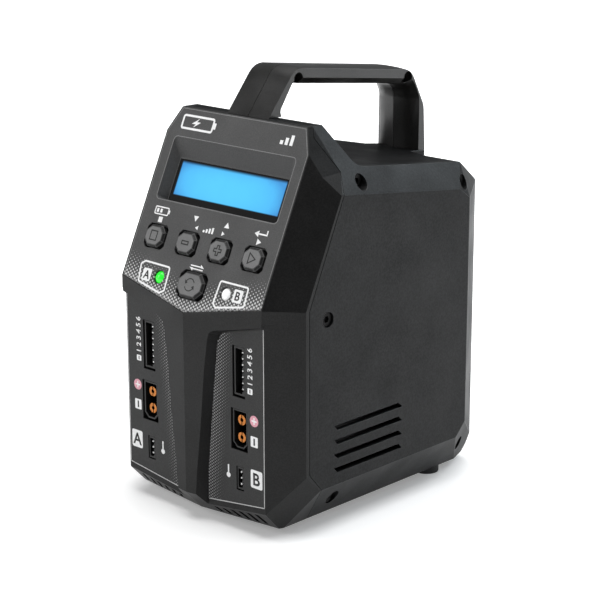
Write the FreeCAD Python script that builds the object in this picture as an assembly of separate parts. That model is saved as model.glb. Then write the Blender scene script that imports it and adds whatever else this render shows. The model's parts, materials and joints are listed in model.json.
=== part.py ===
"""Balance battery charger with two output channels, a sloping control face and a carrying handle.

Units are millimetres. +Z is up, +Y points from the front to the rear and +X to the right of a
person who faces the control panel. The origin is the middle of the footprint on the table.
"""
import FreeCAD, Part
import math
import os

os.makedirs("parts", exist_ok=True)

V = FreeCAD.Vector

# ---- driving dimensions -------------------------------------------------------------------
HALF_WIDTH = 51.5
REAR_Y = 67.6
RIDGE_Y = -67.6            # foremost line of the shallow prow
FOOT_HEIGHT = 3.3
CASE_TOP_Z = 161.6
WALL = 2.4
COVER_WALL = 2.2           # side covers
SEAM_GAP = 0.35            # groove between the front cover and the rest of the case

PANEL_Y = -63.9            # lower corners of the control panel
PANEL_Z = 95.4
PANEL_TILT = 25.24         # degrees back from vertical
PANEL_FACE = 1.0           # thickness of the grey panel face
LABEL_FLOOR_Y = -62.2      # flat floor of the port pockets
LABEL_THICKNESS = 0.3
PORT_X = 26.0              # centre line of each channel's connectors

BALANCE_Z = 68.0
BALANCE_PINS = 7
BALANCE_PITCH = 2.5
OUTPUT_Z = 44.0
OUTPUT_SPACING = 7.2
TEMP_Z = 23.4
TEMP_PINS = 3
TEMP_PITCH = 2.54

BUTTON_PROUD = 1.4
KEY_U = 18.7               # height of the four keys up the panel from its lower corners
KEY_XS = {"stop_button": -27.6, "minus_button": -9.2, "plus_button": 9.4, "start_button": 28.2}
CHANNEL_XU = (0.2, 2.9)
LIGHT_XU = (19.0, 3.0)
LIGHT_R = 2.5

FAN_SIZE = 60.0
FAN_DEPTH = 15.0
FAN_Z = 88.0

FAR = 400.0                # reach of the cutting blocks


# ---- plain helpers ------------------------------------------------------------------------
def box(x0, x1, y0, y1, z0, z1):
    """A block between two corners."""
    return Part.makeBox(x1 - x0, y1 - y0, z1 - z0, V(x0, y0, z0))


def rod(point, direction, radius, length):
    """A cylinder that starts at a point and runs along a direction."""
    return Part.makeCylinder(radius, length, V(*point), V(*direction))


def ring(point, direction, outer, inner, length):
    """A tube."""
    return rod(point, direction, outer, length).cut(rod(point, direction, inner, length))


def plate(points, direction):
    """A flat outline, given as corner points, pushed along a direction."""
    wire = Part.makePolygon([V(*p) for p in points] + [V(*points[0])])
    return Part.Face(wire).extrude(V(*direction))


def along_x(points_yz, x0, x1):
    return plate([(x0, y, z) for y, z in points_yz], (x1 - x0, 0, 0))


def along_y(points_xz, y0, y1):
    return plate([(x, y0, z) for x, z in points_xz], (0, y1 - y0, 0))


def flip(shape):
    """The mirror image on the other side of the middle plane."""
    return shape.mirror(V(0, 0, 0), V(1, 0, 0))


def pair(shape):
    return [shape, flip(shape)]


def join(shapes):
    """One solid from overlapping solids."""
    result = shapes[0]
    for other in shapes[1:]:
        result = result.fuse(other)
    return result.removeSplitter()


def drill(shape, tools):
    for tool in tools:
        shape = shape.cut(tool)
    return shape


def save(node, shapes):
    """Write one node: a solid, or a group of separate solids."""
    group = shapes if isinstance(shapes, list) else [shapes]
    solids = [solid for shape in group for solid in shape.Solids]
    part = solids[0] if len(solids) == 1 else Part.makeCompound(solids)
    part.exportStep("parts/" + node + ".step")


# ---- the case as a stack of flat cuts -----------------------------------------------------
# Corner points of the right half, named after the faces that meet there.
PANEL_CORNER = V(40.0, PANEL_Y, PANEL_Z)
PANEL_SHOULDER = V(39.95, -37.19, 152.06)
PANEL_TOP = V(35.15, -32.69, CASE_TOP_Z)
CREASE_LOW = V(HALF_WIDTH, -51.2, 94.5)
SHOULDER_FRONT = V(45.15, -35.25, 143.75)
SHOULDER_REAR = V(46.2, -26.1, 144.65)
BAND_FRONT = V(HALF_WIDTH, -30.7, 137.05)
ROOF_FRONT = V(45.0, -15.2, 145.15)
ROOF_REAR = V(44.8, 49.2, 137.35)
SIDE_TOP_REAR = V(HALF_WIDTH, 41.25, 128.05)
SIDE_REAR_HIGH = V(HALF_WIDTH, 47.95, 123.35)
REAR_HIGH = V(38.5, REAR_Y, 126.4)
REAR_LOW = V(38.8, REAR_Y, 11.9)
SIDE_REAR_LOW = V(HALF_WIDTH, 47.95, 25.3)
SIDE_LOW_REAR = V(HALF_WIDTH, 42.05, 19.4)
SIDE_LOW_FRONT = V(HALF_WIDTH, -43.15, 19.4)
SIDE_FRONT_LOW = V(HALF_WIDTH, -51.2, 26.95)
BOTTOM_EDGE = V(40.3, 0.0, FOOT_HEIGHT)
PROW_FOOT_OUT = V(40.0, PANEL_Y, 13.4)
PROW_FOOT_MID = V(0.0, RIDGE_Y, 12.2)
KEEL_FRONT = V(0.0, -59.1, FOOT_HEIGHT)
SLOPE_TOP = V(0.0, -24.7, CASE_TOP_Z)
INSIDE = V(0.0, 0.0, 80.0)
X_AXIS = V(1, 0, 0)

PANEL_UP = V(0, math.sin(math.radians(PANEL_TILT)), math.cos(math.radians(PANEL_TILT)))
PANEL_OUT = V(0, -PANEL_UP.z, PANEL_UP.y)


def face_through(a, b, c):
    """The plane through three points, with its normal away from the inside of the case."""
    normal = (b - a).cross(c - a)
    normal.normalize()
    if normal.dot(INSIDE - a) > 0:
        normal = normal.negative()
    return normal, normal.dot(a)


def face_along_x(a, b):
    return face_through(a, b, a + X_AXIS)


SIDE_FACES = [
    (X_AXIS, HALF_WIDTH),
    face_through(BAND_FRONT, SHOULDER_REAR, SIDE_TOP_REAR),
    face_through(SIDE_TOP_REAR, SIDE_REAR_HIGH, ROOF_REAR),
    face_through(SIDE_REAR_HIGH, ROOF_REAR, REAR_HIGH),
    face_through(SIDE_REAR_HIGH, SIDE_REAR_LOW, REAR_LOW),
    face_through(SIDE_REAR_LOW, SIDE_LOW_REAR, REAR_LOW),
    face_through(SIDE_LOW_REAR, SIDE_LOW_FRONT, BOTTOM_EDGE),
]
CORNER_FACES = [
    face_through(PANEL_CORNER, CREASE_LOW, CREASE_LOW + V(0, 0, 1)),
    face_through(PANEL_CORNER, CREASE_LOW, PANEL_SHOULDER),
    face_through(SIDE_FRONT_LOW, SIDE_LOW_FRONT, PROW_FOOT_OUT),
    face_through(PROW_FOOT_MID, PROW_FOOT_OUT, KEEL_FRONT),
    face_through(V(0, RIDGE_Y, 0), V(0, RIDGE_Y, 1), PANEL_CORNER),
]
# These two facets meet in a hollow edge, so only what lies beyond both of them is removed.
SHOULDER_FACES = [
    face_through(PANEL_SHOULDER, PANEL_TOP, SHOULDER_REAR),
    face_through(SHOULDER_FRONT, SHOULDER_REAR, BAND_FRONT),
]
REAR_EDGE_CHAMFER = 3.0
MIDDLE_FACES = [
    (PANEL_OUT, PANEL_OUT.dot(PANEL_CORNER)),
    (V(0, 0, 1), CASE_TOP_Z),
    face_along_x(V(0, ROOF_REAR.y, ROOF_REAR.z), V(0, REAR_Y, REAR_HIGH.z)),
    (V(0, 1, 0), REAR_Y),
    face_along_x(V(0, REAR_Y, FOOT_HEIGHT + REAR_EDGE_CHAMFER),
                 V(0, REAR_Y - REAR_EDGE_CHAMFER, FOOT_HEIGHT)),
    (V(0, 0, -1), -FOOT_HEIGHT),
]
SLOPE_FACE = face_along_x(SLOPE_TOP, V(0, ROOF_FRONT.y, ROOF_FRONT.z))
ROOF_FACE = face_along_x(V(0, ROOF_FRONT.y, ROOF_FRONT.z), V(0, ROOF_REAR.y, ROOF_REAR.z))
ROOF_HOLLOW_R = 7.0


def beyond(face, inset):
    """Everything outside a plane that is moved inwards by inset."""
    normal, offset = face
    base = normal * (offset - inset)
    block = Part.makeBox(FAR, FAR, FAR, V(-FAR / 2, -FAR / 2, 0))
    block.Placement = FreeCAD.Placement(base, FreeCAD.Rotation(V(0, 0, 1), normal))
    return block


def cut_beyond(shape, face, inset):
    return shape.cut(beyond(face, inset))


def case_body(side=0.0, corner=0.0, middle=0.0, sides=True):
    """The outer form of the case, with each family of faces moved inwards by its own amount."""
    shape = box(-HALF_WIDTH, HALF_WIDTH, RIDGE_Y, REAR_Y, FOOT_HEIGHT, CASE_TOP_Z)
    families = [(CORNER_FACES, corner)]
    if sides:
        families.append((SIDE_FACES, side))
    for faces, inset in families:
        for normal, offset in faces:
            shape = cut_beyond(shape, (normal, offset), inset)
            shape = cut_beyond(shape, (V(-normal.x, normal.y, normal.z), offset), inset)
    for side_sign in (1, -1):
        upper, lower = [beyond((V(side_sign * normal.x, normal.y, normal.z), offset), corner)
                        for normal, offset in SHOULDER_FACES]
        shape = shape.cut(upper.common(lower))
    for face in MIDDLE_FACES:
        shape = cut_beyond(shape, face, middle)
    # the step down from the top flat to the roof
    step = box(-FAR, FAR, -FAR, FAR, 0, FAR)
    for normal, offset in (SLOPE_FACE, ROOF_FACE):
        step = cut_beyond(step, (normal.negative(), middle - offset), 0)
    if middle == 0:
        corner_edges = [edge for edge in step.Edges
                        if edge.BoundBox.YLength < 0.1 and edge.BoundBox.ZLength < 0.1
                        and abs(edge.Vertexes[0].Point.y - ROOF_FRONT.y) < 1]
        step = step.makeFillet(ROOF_HOLLOW_R, corner_edges)
    return shape.cut(step)


# Side view of the seam between the front cover and the rest, as (y, z).
SEAM = [(-30.2, CASE_TOP_Z), (-32.0, 157.7), (-26.1, 144.7), (-29.9, 137.0),
        (-49.35, 94.5), (-49.35, 27.4), (-42.65, 19.8), (-39.3, FOOT_HEIGHT)]
seam_path = [(SEAM[0][0], FAR)] + SEAM + [(SEAM[-1][0], -FAR)]
front_zone = along_x([(-FAR, FAR)] + seam_path + [(-FAR, -FAR)], -FAR, FAR)
rear_path = [(y + SEAM_GAP, z) for y, z in seam_path]
rear_zone = along_x([(FAR, FAR)] + rear_path + [(FAR, -FAR)], -FAR, FAR)

outer = case_body()
hollow = case_body(side=WALL, corner=WALL, middle=WALL)
hollow = hollow.cut(box(-FAR, FAR, -FAR, LABEL_FLOOR_Y + WALL, 0, PANEL_Z - 8.0))


# ---- parts that lie in the plane of the control panel --------------------------------------
def on_panel(shape):
    """Move a shape from the panel's own frame, x across, y up the slope and z outwards."""
    placed = shape.copy()
    turn = FreeCAD.Rotation(X_AXIS, 90.0 - PANEL_TILT)
    placed.Placement = FreeCAD.Placement(V(0, PANEL_Y, PANEL_Z), turn).multiply(placed.Placement)
    return placed


def flat(points, low, high):
    """A prism on the panel between two heights, from an outline in panel x and u."""
    return plate([(x, u, low) for x, u in points], (0, 0, high - low))


def octagon(x, u, half_x, half_u, cut):
    """An oblong with cut corners."""
    corners = []
    for sx, su in ((1, 1), (-1, 1), (-1, -1), (1, -1)):
        near_side = (x + sx * half_x, u + su * (half_u - cut))
        near_end = (x + sx * (half_x - cut), u + su * half_u)
        corners += [near_side, near_end] if sx * su > 0 else [near_end, near_side]
    return corners


PANEL_LENGTH = (CASE_TOP_Z - PANEL_Z) / PANEL_UP.z
PANEL_KINK_U = (PANEL_SHOULDER.z - PANEL_Z) / PANEL_UP.z
PANEL_POINT_U = (RIDGE_Y - PANEL_Y) / PANEL_UP.y
RIM = 0.5                  # border of the front cover left around the panel face
panel_outline = [(0, PANEL_POINT_U + 1.2 * RIM), (40.0 - RIM, RIM * 0.8),
                 (40.2 - RIM, PANEL_KINK_U), (PANEL_TOP.x - RIM * 0.8, PANEL_LENGTH - 0.01),
                 (-PANEL_TOP.x + RIM * 0.8, PANEL_LENGTH - 0.01), (-40.2 + RIM, PANEL_KINK_U),
                 (-40.0 + RIM, RIM * 0.8)]

# display recess
RECESS_X = 34.1
RECESS_U = (34.2, 60.5)
WINDOW_X = 30.7
WINDOW_U = (34.6, 52.5)
RECESS_DEPTH = 3.5
FRAME_BACK = 4.9


CORNER_STEPS = 3


def oblong(half_x, u_low, u_high, radius, height):
    """An outline with rounded corners, as a wire at one height above the panel."""
    points = []
    corners = [(1, u_low, 1), (1, u_high, -1), (-1, u_high, -1), (-1, u_low, 1)]
    for quarter, (sx, u_edge, su) in enumerate(corners):
        centre = (sx * (half_x - radius), u_edge + su * radius)
        for step in range(CORNER_STEPS + 1):
            angle = math.radians(90 * (quarter - 1 + step / CORNER_STEPS))
            x = centre[0] + radius * math.cos(angle)
            u = centre[1] + radius * math.sin(angle)
            points.append(V(x, u, height))
    return Part.makePolygon(points + points[:1])


recess_mouth = oblong(RECESS_X, *RECESS_U, 1.8, 0.01)
recess_floor = oblong(WINDOW_X + 0.5, WINDOW_U[0] - 0.3, WINDOW_U[1] + 0.6, 0.6, -RECESS_DEPTH)
recess = Part.makeLoft([recess_mouth, recess_floor], True, True)


def slab(half_x, u_low, u_high, low, high):
    """A block on the panel, centred across it."""
    return on_panel(box(-half_x, half_x, u_low, u_high, low, high))


BOSS_WALL = 1.2
boss_size = (RECESS_X + BOSS_WALL, RECESS_U[0] - BOSS_WALL, RECESS_U[1] + BOSS_WALL)
window_boss = slab(*boss_size, -FRAME_BACK, -PANEL_FACE / 2)
panel_face = join([on_panel(flat(panel_outline, -PANEL_FACE, 0)), window_boss]).cut(on_panel(recess))
panel_face = panel_face.cut(slab(WINDOW_X, *WINDOW_U, -FRAME_BACK - 1, 0))
panel_face = panel_face.common(case_body(corner=RIM * 0.8))

# keys
KEY_HALF = (5.45, 4.6)
KEY_CUT = 2.6
CHANNEL_HALF = (7.3, 5.3)
CHANNEL_CUT = 3.3
KEY_GAP = 0.55
HOLE_CUT_SHARE = 0.62      # the holes have smaller corner cuts than the keys
FLANGE_TOP = -2.7
FLANGE_THICKNESS = 1.0
FLANGE_EXTRA = 1.35
FLANGE_CUT = 1.8
STEM_R = 2.0
STEM_END = -6.5
BOARD_FACE = -11.5
SWITCH_HALF = 3.0
SWITCH_TOP = -8.0
PLUNGER_TOP = -7.7
CAP_EDGE = 0.85

key_sizes = {name: ((x, KEY_U), KEY_HALF, KEY_CUT) for name, x in KEY_XS.items()}
key_sizes["channel_button"] = (CHANNEL_XU, CHANNEL_HALF, CHANNEL_CUT)
buttons = {}
key_holes = []
for name, ((x, u), (half_x, half_u), cut) in key_sizes.items():
    side = BUTTON_PROUD - CAP_EDGE
    cap = flat(octagon(x, u, half_x, half_u, cut), FLANGE_TOP, side)
    rims = [octagon(x, u, half_x - inset, half_u - inset, cut - inset / 2) for inset in (0, CAP_EDGE)]
    wires = [Part.makePolygon([V(a, b, height) for a, b in rim + rim[:1]])
             for rim, height in zip(rims, (side, BUTTON_PROUD))]
    crown = Part.makeLoft(wires, True, True)
    flange = flat(octagon(x, u, half_x + FLANGE_EXTRA, half_u + FLANGE_EXTRA, FLANGE_CUT),
                  FLANGE_TOP - FLANGE_THICKNESS, FLANGE_TOP)
    stem = rod((x, u, STEM_END), (0, 0, 1), STEM_R, FLANGE_TOP - STEM_END)
    buttons[name] = on_panel(join([cap, crown, flange, stem]))
    hole = octagon(x, u, half_x + KEY_GAP, half_u + KEY_GAP, cut * HOLE_CUT_SHARE)
    key_holes.append(on_panel(flat(hole, FLANGE_TOP, 1)))

LIGHT_HOLE_R = 2.85
light_holes = [on_panel(rod((side * LIGHT_XU[0], LIGHT_XU[1], -6), (0, 0, 1), LIGHT_HOLE_R, 8))
               for side in (-1, 1)]
panel_face = drill(panel_face, key_holes + light_holes)

# ---- port pockets --------------------------------------------------------------------------
# Outline of a pocket (x, z) where it meets the prow and on its flat floor.
POCKET_MOUTH_Y = -66.6
POCKET_FRONT_Y = -68.8
POCKET_OUTER_X = 60.0
pocket_mouth = [(4.6, 0), (6.2, 22.6), (8.7, 44.9), (10.6, 66.6), (12.5, 79.6), (13.3, 82.0), (15.5, 83.4),
                (POCKET_OUTER_X, 94.8), (POCKET_OUTER_X, 0)]
pocket_floor = [(6.9, 0), (7.4, 21.6), (9.7, 44.0), (11.9, 64.0), (13.6, 77.9), (14.4, 80.6), (16.4, 82.1),
                (POCKET_OUTER_X, 93.3), (POCKET_OUTER_X, 0)]


def wire_xz(points, y):
    return Part.makePolygon([V(x, y, z) for x, z in points + points[:1]])


reach = (LABEL_FLOOR_Y - POCKET_FRONT_Y) / (LABEL_FLOOR_Y - POCKET_MOUTH_Y)
pocket_front = [(fx + (mx - fx) * reach, fz + (mz - fz) * reach)
                for (mx, mz), (fx, fz) in zip(pocket_mouth, pocket_floor)]
pocket_wires = [wire_xz(pocket_front, POCKET_FRONT_Y), wire_xz(pocket_floor, LABEL_FLOOR_Y)]
pocket = Part.makeLoft(pocket_wires, True, True)

# The outer corner below the panel is cut back to the edge of the pocket floor.
POCKET_EDGE_X = 39.8
LIP_Z = 90.0
corner_wedge = plate([(POCKET_EDGE_X, LABEL_FLOOR_Y, 0), (CREASE_LOW.x, CREASE_LOW.y, 0),
                      (POCKET_OUTER_X, -72, 0), (POCKET_EDGE_X, -72, 0)], (0, 0, LIP_Z))

LABEL_BORDER = 0.3
label_outline = [(7.4, 9.7), (7.4 + LABEL_BORDER, 21.6), (9.7 + LABEL_BORDER, 44.0),
                 (11.9 + LABEL_BORDER, 64.0),
                 (13.6 + LABEL_BORDER, 77.9), (16.6, 81.7), (POCKET_EDGE_X - LABEL_BORDER, 87.6),
                 (POCKET_EDGE_X - LABEL_BORDER, 13.8)]
blank_label = along_y(label_outline, LABEL_FLOOR_Y, LABEL_FLOOR_Y + LABEL_THICKNESS)


def to_left(shape):
    """The same connector part in the left channel; both channels face the same way round."""
    return shape.translated(V(-2 * PORT_X, 0, 0))


def port_block(z, half_x, half_z, y0, y1, dx=0.0):
    return box(PORT_X + dx - half_x, PORT_X + dx + half_x, y0, y1, z - half_z, z + half_z)


PORT_BOARD_Y = -51.0
BOARD = 1.6
HEADER_FACE_Y = -62.1
BALANCE_HALF = (2.9, 9.95)
OUTPUT_HALF = (4.05, 8.0)
TEMP_HALF = (1.75, 4.7)
CUTOUT_GAP = 1.0           # open strip to the left of and below each connector
TEMP_GAP = 0.5
CUTOUT_FIT = 0.15
PIN = 0.64


def cutout(z, half_x, half_z, gap):
    """The opening for one connector, wider on its left and at its foot."""
    return box(PORT_X - half_x - gap, PORT_X + half_x + CUTOUT_FIT, LABEL_FLOOR_Y - 1, PORT_BOARD_Y,
               z - half_z - gap, z + half_z + CUTOUT_FIT)


cutouts = [cutout(BALANCE_Z, *BALANCE_HALF, CUTOUT_GAP), cutout(OUTPUT_Z, *OUTPUT_HALF, CUTOUT_GAP),
           cutout(TEMP_Z, *TEMP_HALF, TEMP_GAP)]
left_cutouts = [to_left(tool) for tool in cutouts]
label = drill(blank_label, cutouts)
left_label = drill(flip(blank_label), left_cutouts)


def pin_row(z, count, pitch, dx, depth):
    """Square pins in a vertical row, through the port board, with their tips set back by depth."""
    middle = (count - 1) / 2
    return [port_block(z + (index - middle) * pitch, PIN / 2, PIN / 2, HEADER_FACE_Y + depth,
                       PORT_BOARD_Y + BOARD + 1.2, dx) for index in range(count)]


def box_header(z, half, walls, count, pitch, notch):
    """An open box header with unequal left and right walls and notches along its right wall."""
    half_x, half_z = half
    left_wall, right_wall = walls
    end_wall = 0.8
    base = 2.6
    header = port_block(z, half_x, half_z, HEADER_FACE_Y, PORT_BOARD_Y)
    header = header.cut(box(PORT_X - half_x + left_wall, PORT_X + half_x - right_wall, HEADER_FACE_Y - 1,
                            PORT_BOARD_Y - base, z - half_z + end_wall, z + half_z - end_wall))
    for index in range(count):
        notch_z = z + (index - (count - 1) / 2) * pitch
        header = header.cut(box(PORT_X + half_x - right_wall - 0.1, PORT_X + half_x - right_wall + notch,
                                HEADER_FACE_Y - 1, PORT_BOARD_Y - base, notch_z - 0.7, notch_z + 0.7))
    return header


balance_pins = pin_row(BALANCE_Z, BALANCE_PINS, BALANCE_PITCH, 0.6, 1.2)
balance_header = box_header(BALANCE_Z, BALANCE_HALF, (0.7, 1.5), BALANCE_PINS, BALANCE_PITCH, 0.8)
balance_header = drill(balance_header, balance_pins)
temp_pins = pin_row(TEMP_Z, TEMP_PINS, TEMP_PITCH, 0.0, 0.5)
temp_header = box_header(TEMP_Z, TEMP_HALF, (0.5, 0.9), TEMP_PINS, TEMP_PITCH, 0.4)
temp_header = drill(temp_header, temp_pins)

CONTACT_R = 2.1
CONTACT_BORE = 0.85
CONTACT_SLOT = 0.5
CONTACT_INSET = 1.0
SOCKET_WALL = 0.7


def power_socket(x, z, face_y, back_y, upright):
    """A shrouded two-pole socket with split round contacts: housing and contacts.

    The mouth faces along Y, from face_y to back_y. Returns (housing, contacts).
    """
    sign = 1 if back_y > face_y else -1
    length = abs(back_y - face_y)
    half_wide, half_long = OUTPUT_HALF

    def outline(inset):
        wide = half_wide - inset
        tall = half_long - inset
        corner = 2.2 - inset / 2
        points = [(-wide, tall), (-wide, -tall + corner), (-wide + corner, -tall),
                  (wide - corner, -tall), (wide, -tall + corner), (wide, tall)]
        return points if upright else [(b, a) for a, b in points]

    def block(inset, start, depth):
        points = [(x + a, z + b) for a, b in outline(inset)]
        return along_y(points, face_y + sign * start, face_y + sign * (start + depth))

    housing = block(0, 0, length).cut(block(SOCKET_WALL, -0.5, length - 2.5))
    contacts = []
    for offset in (-OUTPUT_SPACING / 2, OUTPUT_SPACING / 2):
        at = (x, z + offset) if upright else (x + offset, z)
        start = (at[0], face_y + sign * CONTACT_INSET, at[1])
        pin = rod(start, (0, sign, 0), CONTACT_R, length - CONTACT_INSET + BOARD + 1.0)
        pin = pin.cut(rod(start, (0, sign, 0), CONTACT_BORE, 5.5))
        slot = box(at[0] - CONTACT_SLOT / 2, at[0] + CONTACT_SLOT / 2,
                   min(start[1], start[1] + sign * 5.5), max(start[1], start[1] + sign * 5.5),
                   at[1] - CONTACT_R, at[1] + CONTACT_R)
        contacts.append(pin.cut(slot))
    return drill(housing, contacts), contacts


output_socket, output_contacts = power_socket(PORT_X, OUTPUT_Z, HEADER_FACE_Y, PORT_BOARD_Y, True)

PORT_BOARD_X = (9.5, 42.5)
PORT_BOARD_Z = (14.5, 84.0)
port_board = box(*PORT_BOARD_X, PORT_BOARD_Y, PORT_BOARD_Y + BOARD, *PORT_BOARD_Z)
port_board = drill(port_board, balance_pins + temp_pins + output_contacts)
left_board = to_left(port_board)
POST_R = 2.5
port_post_spots = [(x, z) for x in (PORT_X - 13.5, PORT_X + 10.5)
                   for z in (PORT_BOARD_Z[0] + 3, PORT_BOARD_Z[1] - 3)]
port_posts = [rod((x, LABEL_FLOOR_Y + 1.0, z), (0, 1, 0), POST_R, PORT_BOARD_Y - LABEL_FLOOR_Y - 1.0)
              for x, z in port_post_spots]

# ---- screws of the case --------------------------------------------------------------------
SCREW_RECESS_R = 3.15
SCREW_HEAD_R = 2.8
SCREW_HEAD = 2.0
SCREW_R = 1.5
SOCKET_R = 1.45
BOSS_R = 4.7
BOSS_FLOOR = 3.0
POST_LENGTH = 6.0
SHANK = 7.0
# y, z and the depth of the head's seat below the surface
SCREWS = {
    "front": (-38.7, 89.0, 3.0),
    "roof_front": (-16.8, 139.7, 4.6),
    "roof_rear": (46.7, 129.8, 4.6),
    "base_front": (-30.2, 11.6, 4.6),
    "base_rear": (51.5, 12.9, 5.2),
}


def surface_x(y, z):
    """Where a line along X leaves the case on the right."""
    return outer.common(Part.makeLine(V(0, y, z), V(FAR, y, z))).BoundBox.XMax


screws = []
bosses = []
boss_holes = []
posts = {}
for name, (y, z, seat_depth) in SCREWS.items():
    seat = surface_x(y, z) - seat_depth
    inner_end = seat - BOSS_FLOOR
    bosses.append(rod((inner_end, y, z), (1, 0, 0), BOSS_R, FAR / 10))
    boss_holes.append(rod((seat, y, z), (1, 0, 0), SCREW_RECESS_R, FAR / 10))
    boss_holes.append(rod((inner_end - 1, y, z), (1, 0, 0), SCREW_R + 0.15, FAR / 10))
    head = rod((seat, y, z), (1, 0, 0), SCREW_HEAD_R, SCREW_HEAD)
    turns = [math.radians(60 * corner) for corner in range(6)]
    hexagon = [(seat + SCREW_HEAD, y + SOCKET_R * math.cos(a), z + SOCKET_R * math.sin(a)) for a in turns]
    drive = plate(hexagon, (-1.2, 0, 0))
    shank = rod((seat - SHANK, y, z), (1, 0, 0), SCREW_R, SHANK)
    screws.append(join([head, shank]).cut(drive))
    posts[name] = (inner_end - 0.3, y, z)


def screw_post(name, toward_y, toward_z):
    """A post for one screw with a web to the nearest wall, drilled for the screw."""
    end, y, z = posts[name]
    start = end - POST_LENGTH
    web = box(start, end, min(y - 2, toward_y), max(y + 2, toward_y),
              min(z - 2, toward_z), max(z + 2, toward_z))
    post = rod((start, y, z), (1, 0, 0), 4.0, POST_LENGTH).fuse(web)
    return post.cut(rod((start - 1, y, z), (1, 0, 0), SCREW_R, POST_LENGTH + 2))


# ---- shells --------------------------------------------------------------------------------
inner_limit = case_body(side=COVER_WALL + 0.4, corner=1.2, middle=1.2)

front_cover = outer.common(front_zone).cut(hollow)
front_cover = drill(front_cover, [corner_wedge, flip(corner_wedge), pocket, flip(pocket)])
front_cover = drill(front_cover, [on_panel(flat(panel_outline, -PANEL_FACE, 2)),
                                  slab(*boss_size, -FAR / 10, 0)])
front_cover = drill(front_cover, key_holes + light_holes)
board_post_spots = [(35.6, 1.5), (36.0, 25.4)]
glass_post_spots = [(31.5, 30.8), (31.5, 64.0)]
front_adds = [on_panel(rod((x * side, u, BOARD_FACE), (0, 0, 1), 1.8, -BOARD_FACE - 1.5))
              for x, u in board_post_spots for side in (-1, 1)]
LCD_BOARD_FACE = -10.0
front_adds += [on_panel(rod((x * side, u, LCD_BOARD_FACE), (0, 0, 1), 1.8, -LCD_BOARD_FACE - 1.5))
               for x, u in glass_post_spots for side in (-1, 1)]
front_adds += port_posts + [flip(post) for post in port_posts]
tab = screw_post("front", -62.0, SCREWS["front"][1]).common(inner_limit)
front_cover = join([front_cover] + front_adds + [tab, flip(tab)])
label_pocket = along_y(label_outline, LABEL_FLOOR_Y - 1, LABEL_FLOOR_Y + LABEL_THICKNESS)
front_cover = drill(front_cover, [label_pocket, flip(label_pocket)] + cutouts + left_cutouts)

LOWER_VENTS = 6
LOWER_VENT_PITCH = 4.6
lower_vents = []
for index in range(LOWER_VENTS):
    x = 9.5 + index * LOWER_VENT_PITCH
    top = 5.6 + 0.125 * x
    lower_vents.append(along_y([(x, top), (x + 2.0, top), (x + 3.6, 4.3), (x + 1.6, 4.3)], -66, -56))
front_cover = drill(front_cover, lower_vents + [flip(v) for v in lower_vents])


def largest(shape):
    return max(shape.Solids, key=lambda solid: solid.Volume)


side_cover = outer.common(rear_zone).cut(case_body(side=COVER_WALL)).common(box(1, FAR, -FAR, FAR, 0, FAR))
side_cover = join([largest(side_cover)] + [boss.common(outer) for boss in bosses])
side_cover = drill(side_cover, boss_holes)
VENT_TOPS = (44.5, 38.5, 32.5, 26.6)
VENT_HEIGHT = 2.2
side_vents = [along_x([(-35.2, top), (4.3, top), (6.5, top - VENT_HEIGHT),
                       (-32.9, top - VENT_HEIGHT)], 45, 60) for top in VENT_TOPS]
side_cover = drill(side_cover, side_vents)

channel = case_body(side=COVER_WALL + 0.15).common(rear_zone)
channel = channel.cut(case_body(corner=WALL, middle=WALL, sides=False))
boss_room = [rod(start, (1, 0, 0), BOSS_R + 0.2, 30) for start in posts.values()]
channel = drill(channel, boss_room + [flip(room) for room in boss_room])
TOP_SPLIT_Z = 126.0
BASE_SPLIT_Z = 8.0
SPLIT_GAP = 0.2

top_cover = largest(channel.common(box(-FAR, FAR, -FAR, FAR, TOP_SPLIT_Z, FAR)))
BOSS_END_Y = 66.3          # level with the rear leg of the handle
rear_plan = [(-30, 47.6), (30, 47.6), (13, 55.1), (11.5, BOSS_END_Y), (-11.5, BOSS_END_Y),
             (-13, 55.1)]
handle_boss = plate([(x, y, TOP_SPLIT_Z + 1) for x, y in rear_plan], (0, 0, 25))
handle_boss = cut_beyond(handle_boss, ROOF_FACE, 0)
rear_slope = MIDDLE_FACES[2]
handle_boss = cut_beyond(handle_boss, (rear_slope[0].negative(), -rear_slope[1]), -WALL)
top_posts = [screw_post(name, SCREWS[name][0], 150).common(inner_limit)
             for name in ("roof_front", "roof_rear")]
top_cover = join([top_cover, handle_boss] + [part for post in top_posts for part in pair(post)])

base_plate = largest(channel.common(box(-FAR, FAR, -FAR, FAR, 0, BASE_SPLIT_Z)))
base_posts = [screw_post(name, SCREWS[name][0], 0).common(inner_limit)
              for name in ("base_front", "base_rear")]
base_plate = join([base_plate] + [part for post in base_posts for part in pair(post)])

rear_panel = largest(channel.common(box(-FAR, FAR, 30, FAR, BASE_SPLIT_Z + SPLIT_GAP,
                                        TOP_SPLIT_Z - SPLIT_GAP)))

# ---- handle --------------------------------------------------------------------------------
# Corners of the grip's side view as (y, z, corner radius), from the front foot over the top.
GRIP_OUTSIDE = [(-30.2, 161.62, 0), (-14.7, 180.2, 9), (56.6, 171.5, 8), (65.3, 155.2, 8), (66.3, 135.36, 0)]
GRIP_INSIDE = [(62.1, 135.87, 0), (61.6, 158.8, 6), (57.6, 165.6, 6), (-15.0, 173.8, 5), (-23.6, 164.0, 2.5),
               (-22.8, 161.62, 0)]
GRIP_HALF_WIDTH = 11.5
GRIP_CHAMFER = 3.0         # width of the undercut along the lower edges
GRIP_UNDERCUT = 2.6        # height of the undercut
CROWN = 0.8                # how far the top stands higher in the middle
LEG_BULGE = 3.3            # how far the rear leg swells forwards in the middle
HANDLE_SEAM = 0.1
ROOF_FALL = 0.12           # how much the roof drops per millimetre to the rear
ARC_STEPS = 4

crown_share = [0.0, 0.6, 1.0, 0.7, 0.0]
bulge_share = [1.0, 0.9, 0.3, 0.0, 0.0, 0.0]
undercut_share = [0.0, 0.3, 0.8, 1.0, 0.0, 0.0]


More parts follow.
